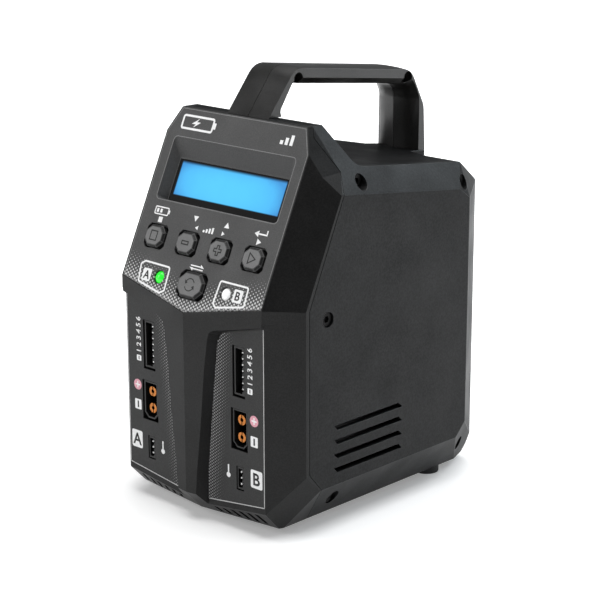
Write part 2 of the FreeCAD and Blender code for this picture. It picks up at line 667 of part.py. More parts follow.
def shifted(corners, distances):
    """Move each corner of an open path sideways, to the left of its direction."""
    moved = []
    for index, (y, z, radius) in enumerate(corners):
        before = corners[max(index - 1, 0)]
        after = corners[min(index + 1, len(corners) - 1)]
        run = V(after[0] - before[0], after[1] - before[1], 0)
        run.normalize()
        moved.append((y - run.y * distances[index], z + run.x * distances[index], radius))
    return moved


def soften(corners):
    """Turn an open path of corners into points, with an arc at each corner that has a radius."""
    path = []
    for index, (y, z, radius) in enumerate(corners):
        here = V(y, z, 0)
        if radius == 0:
            path.append(here)
            continue
        back = V(*corners[index - 1][:2], 0) - here
        ahead = V(*corners[index + 1][:2], 0) - here
        half = back.getAngle(ahead) / 2
        back.normalize()
        ahead.normalize()
        middle = back + ahead
        middle.normalize()
        centre = here + middle * (radius / math.sin(half))
        start = here + back * (radius / math.tan(half)) - centre
        end = here + ahead * (radius / math.tan(half)) - centre
        for step in range(ARC_STEPS + 1):
            spoke = start * (1 - step / ARC_STEPS) + end * (step / ARC_STEPS)
            spoke.normalize()
            path.append(centre + spoke * radius)
    return path


def grip_section(x, swell, undercut):
    """The grip's side outline at one distance from the middle plane."""
    top = shifted(GRIP_OUTSIDE, [CROWN * swell * share for share in crown_share])
    inner = [LEG_BULGE * swell * bulge - undercut * under
             for bulge, under in zip(bulge_share, undercut_share)]
    bottom = shifted(GRIP_INSIDE, inner)
    foot_y, foot_z, radius = GRIP_INSIDE[0]
    bottom[0] = (bottom[0][0], foot_z + ROOF_FALL * (foot_y - bottom[0][0]), radius)
    points = [V(x, point.x, point.y) for point in soften(top) + soften(bottom)]
    return Part.makePolygon(points + points[:1])


grip = Part.makeLoft([grip_section(HANDLE_SEAM, 1.0, 0), grip_section(5.0, 0.8, 0),
                      grip_section(GRIP_HALF_WIDTH - GRIP_CHAMFER, 0.42, 0),
                      grip_section(GRIP_HALF_WIDTH, 0, GRIP_UNDERCUT)], True, True)
FOOT_HALF = 8.5
front_foot = box(HANDLE_SEAM, FOOT_HALF, -28.0, -25.0, 156.5, CASE_TOP_Z + 1.0)
rear_foot = box(HANDLE_SEAM, FOOT_HALF, 61.2, 65.5, 130.5, 137.0)
foot_slots = [box(-FOOT_HALF, FOOT_HALF, -28.0, -25.0, 156.5, CASE_TOP_Z + 1.0),
              box(-FOOT_HALF, FOOT_HALF, 61.2, 65.5, 130.5, 140.0)]
top_cover = drill(top_cover, foot_slots)
right_half = join([grip, front_foot, rear_foot])
left_half = flip(right_half)
GRIP_SCREWS = [(-12.9, 175.6), (54.6, 168.4)]
GRIP_SCREW_SEAT = 6.5
GRIP_SCREW_RECESS_R = 2.6
grip_screws = []
for y, z in GRIP_SCREWS:
    head = rod((GRIP_SCREW_SEAT, y, z), (1, 0, 0), 2.2, 1.4)
    blade_y = box(GRIP_SCREW_SEAT + 0.6, 11, y - 1.3, y + 1.3, z - 0.3, z + 0.3)
    blade_z = box(GRIP_SCREW_SEAT + 0.6, 11, y - 0.3, y + 0.3, z - 1.3, z + 1.3)
    shank = rod((-6.0, y, z), (1, 0, 0), 1.2, 6.0 + GRIP_SCREW_SEAT)
    grip_screws.append(drill(join([head, shank]), [blade_y, blade_z]))
    right_half = drill(right_half, [rod((GRIP_SCREW_SEAT, y, z), (1, 0, 0), GRIP_SCREW_RECESS_R, 5),
                                    rod((-1, y, z), (1, 0, 0), 1.2, 11)])
    left_half = left_half.cut(rod((-6.0, y, z), (1, 0, 0), 1.2, 7))

# ---- feet ----------------------------------------------------------------------------------
FEET = [(25.0, -28.0), (34.5, 43.0)]
rubber_feet = [rod((x * side, y, 0), (0, 0, 1), 5.5, FOOT_HEIGHT) for x, y in FEET for side in (-1, 1)]

# ---- display, control board and keys --------------------------------------------------------
FIT = 0.05
lcd_window = slab(WINDOW_X - FIT, WINDOW_U[0] + FIT, WINDOW_U[1] - FIT, -FRAME_BACK, -RECESS_DEPTH)
lcd_frame = slab(34.5, 33.0, 57.2, LCD_BOARD_FACE, -FRAME_BACK)
lcd_frame = drill(lcd_frame, [slab(33.5, 34.0, 56.2, LCD_BOARD_FACE - 1, -5.7),
                              slab(31.5, 34.8, 53.1, -7, -FRAME_BACK + 1)])
lcd_glass = slab(33.4, 34.1, 56.1, LCD_BOARD_FACE, -5.8)
lcd_board = slab(35.0, 29.0, 66.0, LCD_BOARD_FACE - BOARD, LCD_BOARD_FACE)
control_board = slab(38.0, -2.0, 27.0, BOARD_FACE - BOARD, BOARD_FACE)

key_switches = []
for (x, u), half, cut in key_sizes.values():
    body = box(x - SWITCH_HALF, x + SWITCH_HALF, u - SWITCH_HALF, u + SWITCH_HALF, BOARD_FACE, SWITCH_TOP)
    plunger = rod((x, u, SWITCH_TOP), (0, 0, 1), 1.75, PLUNGER_TOP - SWITCH_TOP)
    key_switches.append(on_panel(join([body, plunger])))

LENS_BALL_R = 3.2
LENS_CENTRE = -2.8
LENS_BASE = -7.0
lights = []
for side in (-1, 1):
    x, u = side * LIGHT_XU[0], LIGHT_XU[1]
    dome = Part.makeSphere(LENS_BALL_R, V(x, u, LENS_CENTRE))
    below = box(x - 5, x + 5, u - 5, u + 5, LENS_BASE, LENS_CENTRE)
    lens = rod((x, u, LENS_BASE), (0, 0, 1), LIGHT_R, 9).common(dome.fuse(below))
    legs = [rod((x + dx, u, BOARD_FACE - BOARD - 1), (0, 0, 1), 0.3, LENS_BASE - BOARD_FACE + BOARD + 1.5)
            for dx in (-1.27, 1.27)]
    lights.append(on_panel(join([lens] + legs)))
control_board = drill(control_board, lights)

board_screws = []
for spots, back in ((board_post_spots, BOARD_FACE - BOARD), (glass_post_spots, LCD_BOARD_FACE - BOARD)):
    for x, u in spots:
        for side in (-1, 1):
            head = rod((x * side, u, back - 1.2), (0, 0, 1), 1.9, 1.2)
            shank = rod((x * side, u, back - 1.2), (0, 0, 1), 1.0, 7.5)
            board_screws.append(on_panel(join([head, shank])))
control_board = drill(control_board, board_screws)
lcd_board = drill(lcd_board, board_screws)
front_cover = drill(front_cover, board_screws)
port_screws = []
for x, z in port_post_spots:
    head = rod((x, PORT_BOARD_Y + BOARD, z), (0, 1, 0), 1.9, 1.2)
    shank = rod((x, PORT_BOARD_Y + BOARD, z), (0, -1, 0), 1.0, 7.5)
    port_screws.append(join([head, shank]))
port_board = drill(port_board, port_screws)
left_board = drill(left_board, [flip(screw) for screw in port_screws])
front_cover = drill(front_cover, port_screws + [flip(screw) for screw in port_screws])
board_screws += [part for screw in port_screws for part in pair(screw)]

# ---- power and charger boards ---------------------------------------------------------------
POWER_Z = 18.0
CHARGER_Z = 72.0
PILLAR_R = 3.0
FLOOR_Z = FOOT_HEIGHT + WALL
pillar_spots = [(x * side, y) for x, y in ((24.0, -34.0), (31.0, 36.0)) for side in (-1, 1)]
power_top = POWER_Z + BOARD
charger_top = CHARGER_Z + BOARD
power_board = box(-36, 36, -38, 40, POWER_Z, power_top)
charger_board = box(-45, 45, -44, 38, CHARGER_Z, charger_top)
pillars = []
for x, y in pillar_spots:
    stud = rod((x, y, 9.0), (0, 0, 1), 1.5, power_top - 9.0)
    lower = rod((x, y, FLOOR_Z), (0, 0, 1), PILLAR_R, POWER_Z - FLOOR_Z).cut(stud)
    upper = rod((x, y, power_top), (0, 0, 1), PILLAR_R, CHARGER_Z - power_top).fuse(stud).removeSplitter()
    screw = join([rod((x, y, charger_top), (0, 0, 1), 2.75, 1.6),
                  rod((x, y, 65.0), (0, 0, 1), 1.45, charger_top - 64.0)])
    pillars += [lower, upper.cut(screw)]
    board_screws.append(screw)
    power_board = power_board.cut(stud)
    charger_board = charger_board.cut(screw)

transformer = join([box(-31, 3, 2, 14, power_top, power_top + 28),
                    box(-27, -1, -7, 23, power_top + 4, power_top + 24),
                    box(-27, -1, -5, 21, power_top, power_top + 5)])
bulk_capacitors = [rod((20, y, power_top), (0, 0, 1), 11, 35) for y in (-20.0, 6.0)]
mains_choke = join([ring((-20, -26, power_top + 13), (0, 1, 0), 12, 6, 11),
                    box(-29, -11, -26, -15, power_top, power_top + 3)])
power_heatsinks = pair(box(33.5, 35.5, -24, 28, power_top, power_top + 30))
inductors = [box(x - 7, x + 7, y - 7, y + 7, charger_top, charger_top + 9)
             for x in (-36, 36) for y in (-34, -14)]
filter_capacitors = [rod((x, y, charger_top), (0, 0, 1), 5, 16) for x in (-37, 37) for y in (4, 20)]
TRANSISTOR = 2.4
transistors = [box(x - 5, x + 5, y - 7, y + 7, charger_top, charger_top + TRANSISTOR)
               for x in (-18, 0, 18) for y in (-20, 14)]
sink_base = charger_top + TRANSISTOR
FIN_PITCH = 5.5
fins = [box(x * FIN_PITCH - 0.8, x * FIN_PITCH + 0.8, -32, 28, sink_base + 2.5, sink_base + 20)
        for x in range(-5, 6)]
charger_heatsink = join([box(-28.3, 28.3, -32, 28, sink_base, sink_base + 3)] + fins)

# ---- fan and rear sockets -------------------------------------------------------------------
FAN_BORE_R = 28.5
FAN_BACK = REAR_Y - WALL
FAN_FRONT = FAN_BACK - FAN_DEPTH
HALF_FAN = FAN_SIZE / 2
FAN_SCREW = 25.0
fan_axis = (0, FAN_FRONT, FAN_Z)
fan_frame = box(-HALF_FAN, HALF_FAN, FAN_FRONT, FAN_BACK, FAN_Z - HALF_FAN, FAN_Z + HALF_FAN)
fan_frame = fan_frame.cut(rod(fan_axis, (0, 1, 0), FAN_BORE_R, FAN_DEPTH))
struts = []
for angle in (45, 135, 225, 315):
    strut = box(10, FAN_BORE_R + 1.5, FAN_FRONT, FAN_FRONT + 2, FAN_Z - 1.5, FAN_Z + 1.5)
    strut.rotate(V(*fan_axis), V(0, 1, 0), angle)
    struts.append(strut)
shaft = rod((0, FAN_FRONT + 1, FAN_Z), (0, 1, 0), 1.5, 9)
fan_frame = join([fan_frame, rod(fan_axis, (0, 1, 0), 13, 2), shaft] + struts)

ROTOR_FRONT = FAN_FRONT + 2.5
ROTOR_LENGTH = 11.5
BLADES = 7
BLADE_TILT = 38.0
rotor = rod((0, ROTOR_FRONT, FAN_Z), (0, 1, 0), 12, ROTOR_LENGTH)
blades = []
for index in range(BLADES):
    blade = box(10.5, 27.7, -0.7, 0.7, -7.0, 7.0)
    blade.rotate(V(0, 0, 0), V(1, 0, 0), 90 - BLADE_TILT)
    blade.translate(V(0, ROTOR_FRONT + ROTOR_LENGTH / 2, FAN_Z))
    blade.rotate(V(*fan_axis), V(0, 1, 0), index * 360.0 / BLADES)
    blades.append(blade)
sweep = rod((0, ROTOR_FRONT, FAN_Z), (0, 1, 0), 27.5, ROTOR_LENGTH)
fan_rotor = join([rotor] + [blade.common(sweep) for blade in blades])
fan_rotor = fan_rotor.cut(rod((0, ROTOR_FRONT - 1, FAN_Z), (0, 1, 0), 1.56, 8.8))

GUARD_THICKNESS = 1.6
guard_y = FAN_BACK + 0.3
guard_rings = [ring((0, guard_y, FAN_Z), (0, 1, 0), radius, radius - 1.4, GUARD_THICKNESS)
               for radius in (FAN_BORE_R, 22.5, 16.5, 10.5)]
guard_bars = []
for angle in (45, 135, 225, 315):
    bar = box(3.0, FAN_BORE_R - 0.7, guard_y, guard_y + GUARD_THICKNESS, FAN_Z - 0.8, FAN_Z + 0.8)
    bar.rotate(V(*fan_axis), V(0, 1, 0), angle)
    guard_bars.append(bar)
fan_guard = join(guard_rings + guard_bars + [rod((0, guard_y, FAN_Z), (0, 1, 0), 5, GUARD_THICKNESS)])
rear_panel = rear_panel.cut(rod(fan_axis, (0, 1, 0), FAN_BORE_R, FAN_DEPTH + 10))

fan_screws = []
for dx in (-FAN_SCREW, FAN_SCREW):
    for dz in (-FAN_SCREW, FAN_SCREW):
        at = (dx, REAR_Y - 1.4, FAN_Z + dz)
        screw = join([rod(at, (0, 1, 0), 3.3, 1.2), rod(at, (0, -1, 0), 1.9, 10)])
        slot = box(dx - 2.2, dx + 2.2, REAR_Y - 0.8, REAR_Y, FAN_Z + dz - 0.35, FAN_Z + dz + 0.35)
        fan_screws.append(screw.cut(slot))
        rear_panel = drill(rear_panel, [rod(at, (0, 1, 0), 3.5, 5), rod(at, (0, -1, 0), 1.9, 10)])
        fan_frame = fan_frame.cut(rod(at, (0, -1, 0), 1.9, 10))

INLET_X = -16.0
REAR_SOCKET_Z = 27.0


def inlet_block(half_x, half_z, y0, y1):
    return box(INLET_X - half_x, INLET_X + half_x, y0, y1, REAR_SOCKET_Z - half_z, REAR_SOCKET_Z + half_z)


INLET_FLANGE = (15.2, 11.6)
INLET_BODY = (13.5, 9.8)
INLET_MOUTH = (12.1, 8.2)
INLET_FLOOR_Y = 51.0
ac_inlet = join([inlet_block(*INLET_FLANGE, REAR_Y - 1.4, REAR_Y),
                 inlet_block(*INLET_BODY, INLET_FLOOR_Y - 4, REAR_Y - 1)])
keyed = [(INLET_X - 12.1, -8.2), (INLET_X + 12.1, -8.2), (INLET_X + 12.1, 3.6), (INLET_X + 8.0, 8.2),
         (INLET_X - 8.0, 8.2), (INLET_X - 12.1, 3.6)]
ac_inlet = ac_inlet.cut(along_y([(x, REAR_SOCKET_Z + z) for x, z in keyed], INLET_FLOOR_Y, REAR_Y + 1))
ac_pins = []
for dx, dz in ((-7.0, -2.0), (7.0, -2.0), (0.0, 2.0)):
    ac_pins.append(box(INLET_X + dx - 1, INLET_X + dx + 1, INLET_FLOOR_Y - 8, REAR_Y - 4,
                       REAR_SOCKET_Z + dz - 2, REAR_SOCKET_Z + dz + 2))
ac_inlet = drill(ac_inlet, ac_pins)
rear_panel = drill(rear_panel, [inlet_block(*INLET_FLANGE, REAR_Y - 1.4, REAR_Y + 1),
                                inlet_block(*INLET_BODY, 40, REAR_Y + 1)])

DC_X = 20.0
dc_input, dc_contacts = power_socket(DC_X, REAR_SOCKET_Z, REAR_Y - 0.3, REAR_Y - 18.0, False)


def dc_block(half_x, half_z, y0, y1):
    return box(DC_X - half_x, DC_X + half_x, y0, y1, REAR_SOCKET_Z - half_z, REAR_SOCKET_Z + half_z)


dc_collar = dc_block(10.5, 6.5, REAR_Y - WALL - 1.6, REAR_Y - WALL)
dc_collar = dc_collar.cut(dc_block(OUTPUT_HALF[1], OUTPUT_HALF[0], REAR_Y - 18.0, REAR_Y))
dc_input = join([dc_input, dc_collar])
rear_panel = rear_panel.cut(dc_block(OUTPUT_HALF[1], OUTPUT_HALF[0], 60, REAR_Y + 1))

# ---- write the nodes -----------------------------------------------------------------------
save("front_cover", front_cover)
save("panel_face", panel_face)
save("right_side_cover", side_cover)
save("left_side_cover", flip(side_cover))
save("top_cover", top_cover)
save("rear_panel", rear_panel)
save("base_plate", base_plate)
save("case_screws", [part for screw in screws for part in pair(screw)])
save("handle_right_half", right_half)
save("handle_left_half", left_half)
save("handle_screws", grip_screws)
save("rubber_feet", rubber_feet)
save("lcd_window", lcd_window)
save("lcd_frame", lcd_frame)
save("lcd_glass", lcd_glass)
save("lcd_board", lcd_board)
save("control_board", control_board)
save("key_switches", key_switches)
for name, button in buttons.items():
    save(name, button)
save("status_light_a", lights[0])
save("status_light_b", lights[1])
save("port_label_a", left_label)
save("port_label_b", label)
connectors = {"balance_header": [balance_header], "balance_pins": balance_pins,
              "output_socket": [output_socket],
              "output_contacts": output_contacts, "temperature_header": [temp_header],
              "temperature_pins": temp_pins}
for name, shapes in connectors.items():
    save(name + "_a", [to_left(shape) for shape in shapes])
    save(name + "_b", shapes)
save("port_board_a", left_board)
save("port_board_b", port_board)
save("charger_board", charger_board)
save("inductors", inductors)
save("filter_capacitors", filter_capacitors)
save("transistors", transistors)
save("heatsinks", [charger_heatsink] + power_heatsinks)
save("power_board", power_board)
save("transformer", transformer)
save("bulk_capacitors", bulk_capacitors)
save("mains_choke", mains_choke)
save("board_pillars", pillars)
save("board_screws", board_screws)
save("fan_frame", fan_frame)
save("fan_rotor", fan_rotor)
save("fan_guard", fan_guard)
save("fan_screws", fan_screws)
save("ac_inlet", ac_inlet)
save("ac_pins", ac_pins)
save("dc_input", dc_input)
save("dc_contacts", dc_contacts)
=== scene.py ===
"""The looks of the balance battery charger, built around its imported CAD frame.

Metres, in the frame of the CAD: +X right, +Y from front to rear, +Z up, ground at z = 0.
Outlines of prints and icons are in millimetres, on the plane that they lie on.
"""
import bmesh
import bpy
import json
import math
from mathutils import Matrix, Vector


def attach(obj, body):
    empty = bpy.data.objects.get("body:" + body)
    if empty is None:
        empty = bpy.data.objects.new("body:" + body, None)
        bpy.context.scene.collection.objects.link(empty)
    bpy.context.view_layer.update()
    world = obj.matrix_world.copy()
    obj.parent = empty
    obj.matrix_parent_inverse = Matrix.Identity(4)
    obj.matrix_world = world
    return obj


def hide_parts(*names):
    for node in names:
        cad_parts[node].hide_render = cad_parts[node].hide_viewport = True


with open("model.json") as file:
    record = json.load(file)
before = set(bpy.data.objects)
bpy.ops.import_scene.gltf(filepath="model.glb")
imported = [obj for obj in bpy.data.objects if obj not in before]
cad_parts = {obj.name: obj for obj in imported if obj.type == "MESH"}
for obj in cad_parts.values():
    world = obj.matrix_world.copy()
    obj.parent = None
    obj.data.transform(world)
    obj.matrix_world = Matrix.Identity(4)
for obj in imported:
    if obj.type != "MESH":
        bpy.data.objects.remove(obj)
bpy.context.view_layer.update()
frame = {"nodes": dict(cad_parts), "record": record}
NODES = frame["nodes"]
SLOTS = {row["node"]: row["material_slot"] for row in frame["record"]["subparts"]}
MM = 0.001

# The control panel's own frame: x across, y up the slope, z outwards.
PANEL_TILT = 25.24
PANEL_ORIGIN = (0.0, -0.0639, 0.0954)
PANEL_TURN = math.radians(90 - PANEL_TILT)
ON_PANEL = Matrix.Translation(PANEL_ORIGIN) @ Matrix.Rotation(PANEL_TURN, 4, "X")
# The port labels' frame: x across, y up, z towards the front.
ON_LABEL = Matrix.Translation((0, -0.0622, 0)) @ Matrix.Rotation(math.radians(90), 4, "X")

# ---- camera and light ----------------------------------------------------------------------
CAMERA_PLACE = (0.52586, -0.55500, 0.29513)
CAMERA_AZIMUTH = 43.468
CAMERA_DOWN = 15.775
CAMERA_ROLL = -0.103
camera_data = bpy.data.cameras.new("camera")
camera_data.sensor_width = 36.0
camera_data.lens = 113.15
camera_data.clip_start = 0.02
camera_data.clip_end = 50.0
camera = bpy.data.objects.new("camera", camera_data)
azimuth, down = math.radians(CAMERA_AZIMUTH), math.radians(CAMERA_DOWN)
level_share = math.cos(down)
view = Vector((-math.sin(azimuth) * level_share, math.cos(azimuth) * level_share, -math.sin(down)))
turn = view.to_track_quat("-Z", "Y").to_matrix().to_4x4()
camera.matrix_world = (Matrix.Translation(Vector(CAMERA_PLACE)) @ turn
                       @ Matrix.Rotation(math.radians(CAMERA_ROLL), 4, "Z"))
bpy.context.scene.collection.objects.link(camera)
bpy.context.scene.camera = camera
bpy.context.scene.view_settings.view_transform = "Standard"


def area_light(name, place, target, size, watts, tint=(1, 1, 1)):
    """A rectangular light that faces a target."""
    data = bpy.data.lights.new(name, "AREA")
    data.shape = "RECTANGLE"
    data.size, data.size_y = size
    data.energy = watts
    data.color = tint
    light = bpy.data.objects.new(name, data)
    light.location = place
    light.rotation_euler = (Vector(target) - Vector(place)).to_track_quat("-Z", "Y").to_euler()
    bpy.context.scene.collection.objects.link(light)


area_light("overhead", (0.0, 0.1, 1.5), (0, 0, 0), (1.6, 1.6), 34)
area_light("left_front", (-1.1, -1.2, 0.8), (0, 0, 0.1), (0.7, 0.9), 9)
area_light("right_rear", (1.5, 0.9, 0.5), (0, 0, 0.08), (0.5, 0.8), 2, (0.93, 0.97, 1.0))
area_light("rear_top", (0.42, 1.35, 0.95), (0, 0, 0.14), (0.9, 0.6), 9, (0.85, 0.94, 1.0))

# The camera sees plain white, and the object is lit by a much dimmer room.
ROOM_LIGHT = 0.13
world = bpy.data.worlds.new("studio")
bpy.context.scene.world = world
world.use_nodes = True
sky = world.node_tree.nodes
backdrop = sky["Background"]
backdrop.inputs["Color"].default_value = (1, 1, 1, 1)
backdrop.inputs["Strength"].default_value = 1.0
room = sky.new("ShaderNodeBackground")
room.inputs["Color"].default_value = (0.95, 0.97, 1.0, 1)
room.inputs["Strength"].default_value = ROOM_LIGHT
ray = sky.new("ShaderNodeLightPath")
blend_sky = sky.new("ShaderNodeMixShader")
world.node_tree.links.new(ray.outputs["Is Camera Ray"], blend_sky.inputs[0])
world.node_tree.links.new(room.outputs[0], blend_sky.inputs[1])
world.node_tree.links.new(backdrop.outputs[0], blend_sky.inputs[2])
world.node_tree.links.new(blend_sky.outputs[0], sky["World Output"].inputs["Surface"])


# ---- materials -----------------------------------------------------------------------------
FINE_SPAN = (0.36, 0.66)   # the middle of a fine noise, which a colour ramp spreads over
SLOW_SPAN = (0.3, 0.7)     # the middle of a slow noise, which the gloss spreads over
DOT_RIM = (-0.05, 0.12)    # where a printed dot fades out, in millimetres across its rim


class Look:
    """One node material: a Principled shader with helpers that wire procedural detail into it."""

    def __init__(self, name):
        self.material = bpy.data.materials.new(name)
        self.material.use_nodes = True
        self.tree = self.material.node_tree
        self.shader = self.tree.nodes["Principled BSDF"]
        self.spot = self.tree.nodes.new("ShaderNodeTexCoord").outputs["Object"]

    def node(self, kind, **settings):
        """A new shader node with these settings."""
        made = self.tree.nodes.new(kind)
        for key, value in settings.items():
            setattr(made, key, value)
        return made

    def feed(self, source, target):
        """Join an output to an input."""
        self.tree.links.new(source, target)

    def math(self, operation, first, second=None):
        """One step of arithmetic on numbers or outputs."""
        made = self.node("ShaderNodeMath", operation=operation)
        for socket, value in zip(made.inputs, (first, second)):
            if isinstance(value, (int, float)):
                socket.default_value = value
            elif value is not None:
                self.feed(value, socket)
        return made.outputs[0]

    def remap(self, value, low, high, to_low, to_high, smooth=False):
        """Bring a value from one range to another, clamped at both ends."""
        curve = "SMOOTHSTEP" if smooth else "LINEAR"
        made = self.node("ShaderNodeMapRange", interpolation_type=curve)
        self.feed(value, made.inputs["Value"])
        made.inputs["From Min"].default_value = low
        made.inputs["From Max"].default_value = high
        made.inputs["To Min"].default_value = to_low
        made.inputs["To Max"].default_value = to_high
        return made.outputs["Result"]

    def noise(self, size, detail=3.0, stretch=None):
        """Noise whose features are about size metres across."""
        made = self.node("ShaderNodeTexNoise")
        made.inputs["Scale"].default_value = 1 / size
        made.inputs["Detail"].default_value = detail
        if stretch:
            mapping = self.node("ShaderNodeMapping")
            mapping.inputs["Scale"].default_value = stretch
            self.feed(self.spot, mapping.inputs["Vector"])
            self.feed(mapping.outputs[0], made.inputs["Vector"])
        else:
            self.feed(self.spot, made.inputs["Vector"])
        return made.outputs["Fac"]

    def ramp(self, value, stops):
        """Colours along a value, from a list of (place, colour)."""
        made = self.node("ShaderNodeValToRGB")
        self.feed(value, made.inputs["Fac"])
        elements = made.color_ramp.elements
        elements[0].position, elements[1].position = stops[0][0], stops[-1][0]
        elements[0].color, elements[1].color = (*stops[0][1], 1), (*stops[-1][1], 1)
        for place, color in stops[1:-1]:
            elements.new(place).color = (*color, 1)
        return made.outputs["Color"]

    def mix(self, share, first, second):
        """Blend two colours, or colour outputs, by a mask."""
        made = self.node("ShaderNodeMix", data_type="RGBA")
        self.feed(share, made.inputs["Factor"])
        for socket, value in ((made.inputs[6], first), (made.inputs[7], second)):
            if isinstance(value, tuple):
                socket.default_value = (*value, 1)
            else:
                self.feed(value, socket)
        return made.outputs[2]

    def bump(self, value, depth, strength):
        """Relief of this depth in metres."""
        made = self.node("ShaderNodeBump")
        made.inputs["Strength"].default_value = strength
        made.inputs["Distance"].default_value = depth
        self.feed(value, made.inputs["Height"])
        self.feed(made.outputs["Normal"], self.shader.inputs["Normal"])

    def panel_spot(self):
        """Object coordinates turned into the panel's own frame, in millimetres."""
        mapping = self.node("ShaderNodeMapping", vector_type="TEXTURE")
        mapping.inputs["Location"].default_value = PANEL_ORIGIN
        mapping.inputs["Rotation"].default_value = (PANEL_TURN, 0, 0)
        mapping.inputs["Scale"].default_value = (MM, MM, MM)
        self.feed(self.spot, mapping.inputs["Vector"])
        apart = self.node("ShaderNodeSeparateXYZ")
        self.feed(mapping.outputs[0], apart.inputs[0])
        return apart.outputs["X"], apart.outputs["Y"]

    def dots(self, across, along, pitch_x, pitch_y, radius):
        """A mask of round dots in a staggered grid, whose radius may vary over the surface."""
        dx = self.math("PINGPONG", across, pitch_x / 2)
        dy = self.math("PINGPONG", along, pitch_y / 2)
        far_x = self.math("SUBTRACT", pitch_x / 2, dx)
        far_y = self.math("SUBTRACT", pitch_y / 2, dy)
        gaps = []
        for gap_x, gap_y in ((dx, dy), (far_x, far_y)):
            square_x = self.math("MULTIPLY", gap_x, gap_x)
            square_y = self.math("MULTIPLY", gap_y, gap_y)
            gaps.append(self.math("SQRT", self.math("ADD", square_x, square_y)))
        nearest = self.math("MINIMUM", *gaps)
        return self.remap(self.math("SUBTRACT", radius, nearest), *DOT_RIM, 0, 1)


def grained(name, dark, light, rough=(0.4, 0.55), grain=0.0006, depth=0.00003, specular=0.5,
            metallic=0.0, blotch=0.012, stretch=None):
    """A look with fine grain in colour and relief, and slow swings in gloss."""
    look = Look(name)
    fine = look.noise(grain, 4.0, stretch)
    colours = look.ramp(fine, [(FINE_SPAN[0], dark), (FINE_SPAN[1], light)])
    look.feed(colours, look.shader.inputs["Base Color"])
    slow = look.noise(blotch, 3.0)
    look.feed(look.remap(slow, *SLOW_SPAN, *rough), look.shader.inputs["Roughness"])
    look.shader.inputs["Specular IOR Level"].default_value = specular
    look.shader.inputs["Metallic"].default_value = metallic
    look.bump(fine, depth, 0.5)
    return look


def plastic(name, *values, **settings):
    """The material of a grained look, for plastics, metals, boards and inks alike."""
    return grained(name, *values, **settings).material


def grey(value, tint=(1, 1, 1)):
    """A grey of this brightness, tinted where a tint is given."""
    return tuple(value * share for share in tint)


COOL = (0.95, 1.0, 1.06)
WARM = (1.03, 1.0, 0.95)
CASE_GLOSS = 0.2
case_side = plastic("case_grain", grey(0.001, COOL), grey(0.010, COOL), (0.42, 0.56), 0.0008,
                    0.00006, CASE_GLOSS, blotch=0.02)
case_front = plastic("case_front", grey(0.004), grey(0.010), (0.34, 0.46), 0.0006, 0.00003,
                     CASE_GLOSS)
case_roof = plastic("case_roof", grey(0.001, COOL), grey(0.006, COOL), (0.42, 0.56), 0.0008,
                    0.00006, 0.1, blotch=0.02)
# Lighter than the case plastic: painted highlight on the rounded edges.
case_edge_highlight = plastic("case_edge_highlight", grey(0.012, COOL), grey(0.03, COOL), (0.25, 0.38), 0.0004,
                    0.00001, 0.4)
handle_look = plastic("handle_satin", grey(0.006, WARM), grey(0.013, WARM), (0.28, 0.4), 0.0006,
                      0.00002, 0.6)
# Lighter than the handle plastic: painted highlight on the rounded edges.
handle_edge_highlight = plastic("handle_edge_highlight", grey(0.03, WARM), grey(0.06, WARM), (0.22, 0.32), 0.0004,
                      0.00001, 0.9)
key_look = plastic("key_satin", grey(0.095), grey(0.12), (0.4, 0.55), 0.0004, 0.00002)
# A darker copy of the plastic: painted shade for walls that face away from the light.
painted_shade_look = plastic("painted_shade_wall", grey(0.006), grey(0.012), (0.45, 0.6), 0.0004, 0.00002, 0.2)
# Lighter than the key plastic: painted highlight on the rounded edges.
key_edge_highlight = plastic("key_edge_highlight", grey(0.03), grey(0.05), (0.3, 0.42), 0.0004, 0.00001, 0.3)
print_white = plastic("print_white", grey(0.72), grey(0.82), (0.5, 0.6), 0.0003, 0.00001, 0.3)
print_dark = plastic("print_dark", grey(0.008), grey(0.014), (0.5, 0.6), 0.0003, 0.00001, 0.3)
print_pink = plastic("print_pink", (0.62, 0.27, 0.33), (0.72, 0.36, 0.42), (0.5, 0.6), 0.0003,
                     0.00001, 0.3)
# Light grey for lines that paint highlights along the panel's edges.
rim_highlight_grey = plastic("rim_highlight_grey", grey(0.12), grey(0.17), (0.4, 0.5), 0.0005, 0.00001, 0.4)
# Light grey for thin lines that paint the highlight on the front cover's lit edges by the labels.
edge_highlight_line = plastic("edge_highlight_line", grey(0.42), grey(0.52), (0.4, 0.5), 0.0005, 0.00001, 0.4)


# The panel's lower edge is a shallow V: this far below the frame's origin, and this steep.
PANEL_V_DROP = 8.68
PANEL_V_SLOPE = 0.217
# A port label's inner edge leans: x at the ground, and its growth with height.
LABEL_EDGE_FOOT = 5.0
LABEL_EDGE_LEAN = 0.11


def panel_look():
    """The grey panel, with dots that grow towards its lower edge."""
    look = Look("panel_satin")
    across, up = look.panel_spot()
    fine = look.noise(0.0005, 4.0)
    body = look.ramp(fine, [(FINE_SPAN[0], grey(0.046)), (FINE_SPAN[1], grey(0.060))])
    rise = look.math("MULTIPLY", look.math("ABSOLUTE", across), PANEL_V_SLOPE)
    above_edge = look.math("SUBTRACT", look.math("ADD", up, PANEL_V_DROP), rise)
    radius = look.remap(above_edge, 0.5, 14.0, 0.60, 0.0)
    mask = look.dots(across, up, 2.3, 1.65, radius)
    look.feed(look.mix(mask, body, grey(0.52)), look.shader.inputs["Base Color"])
    gloss = look.remap(look.noise(0.012), *SLOW_SPAN, 0.38, 0.5)
    look.feed(gloss, look.shader.inputs["Roughness"])
    look.shader.inputs["Specular IOR Level"].default_value = CASE_GLOSS
    look.bump(fine, 0.00002, 0.5)
    return look.material


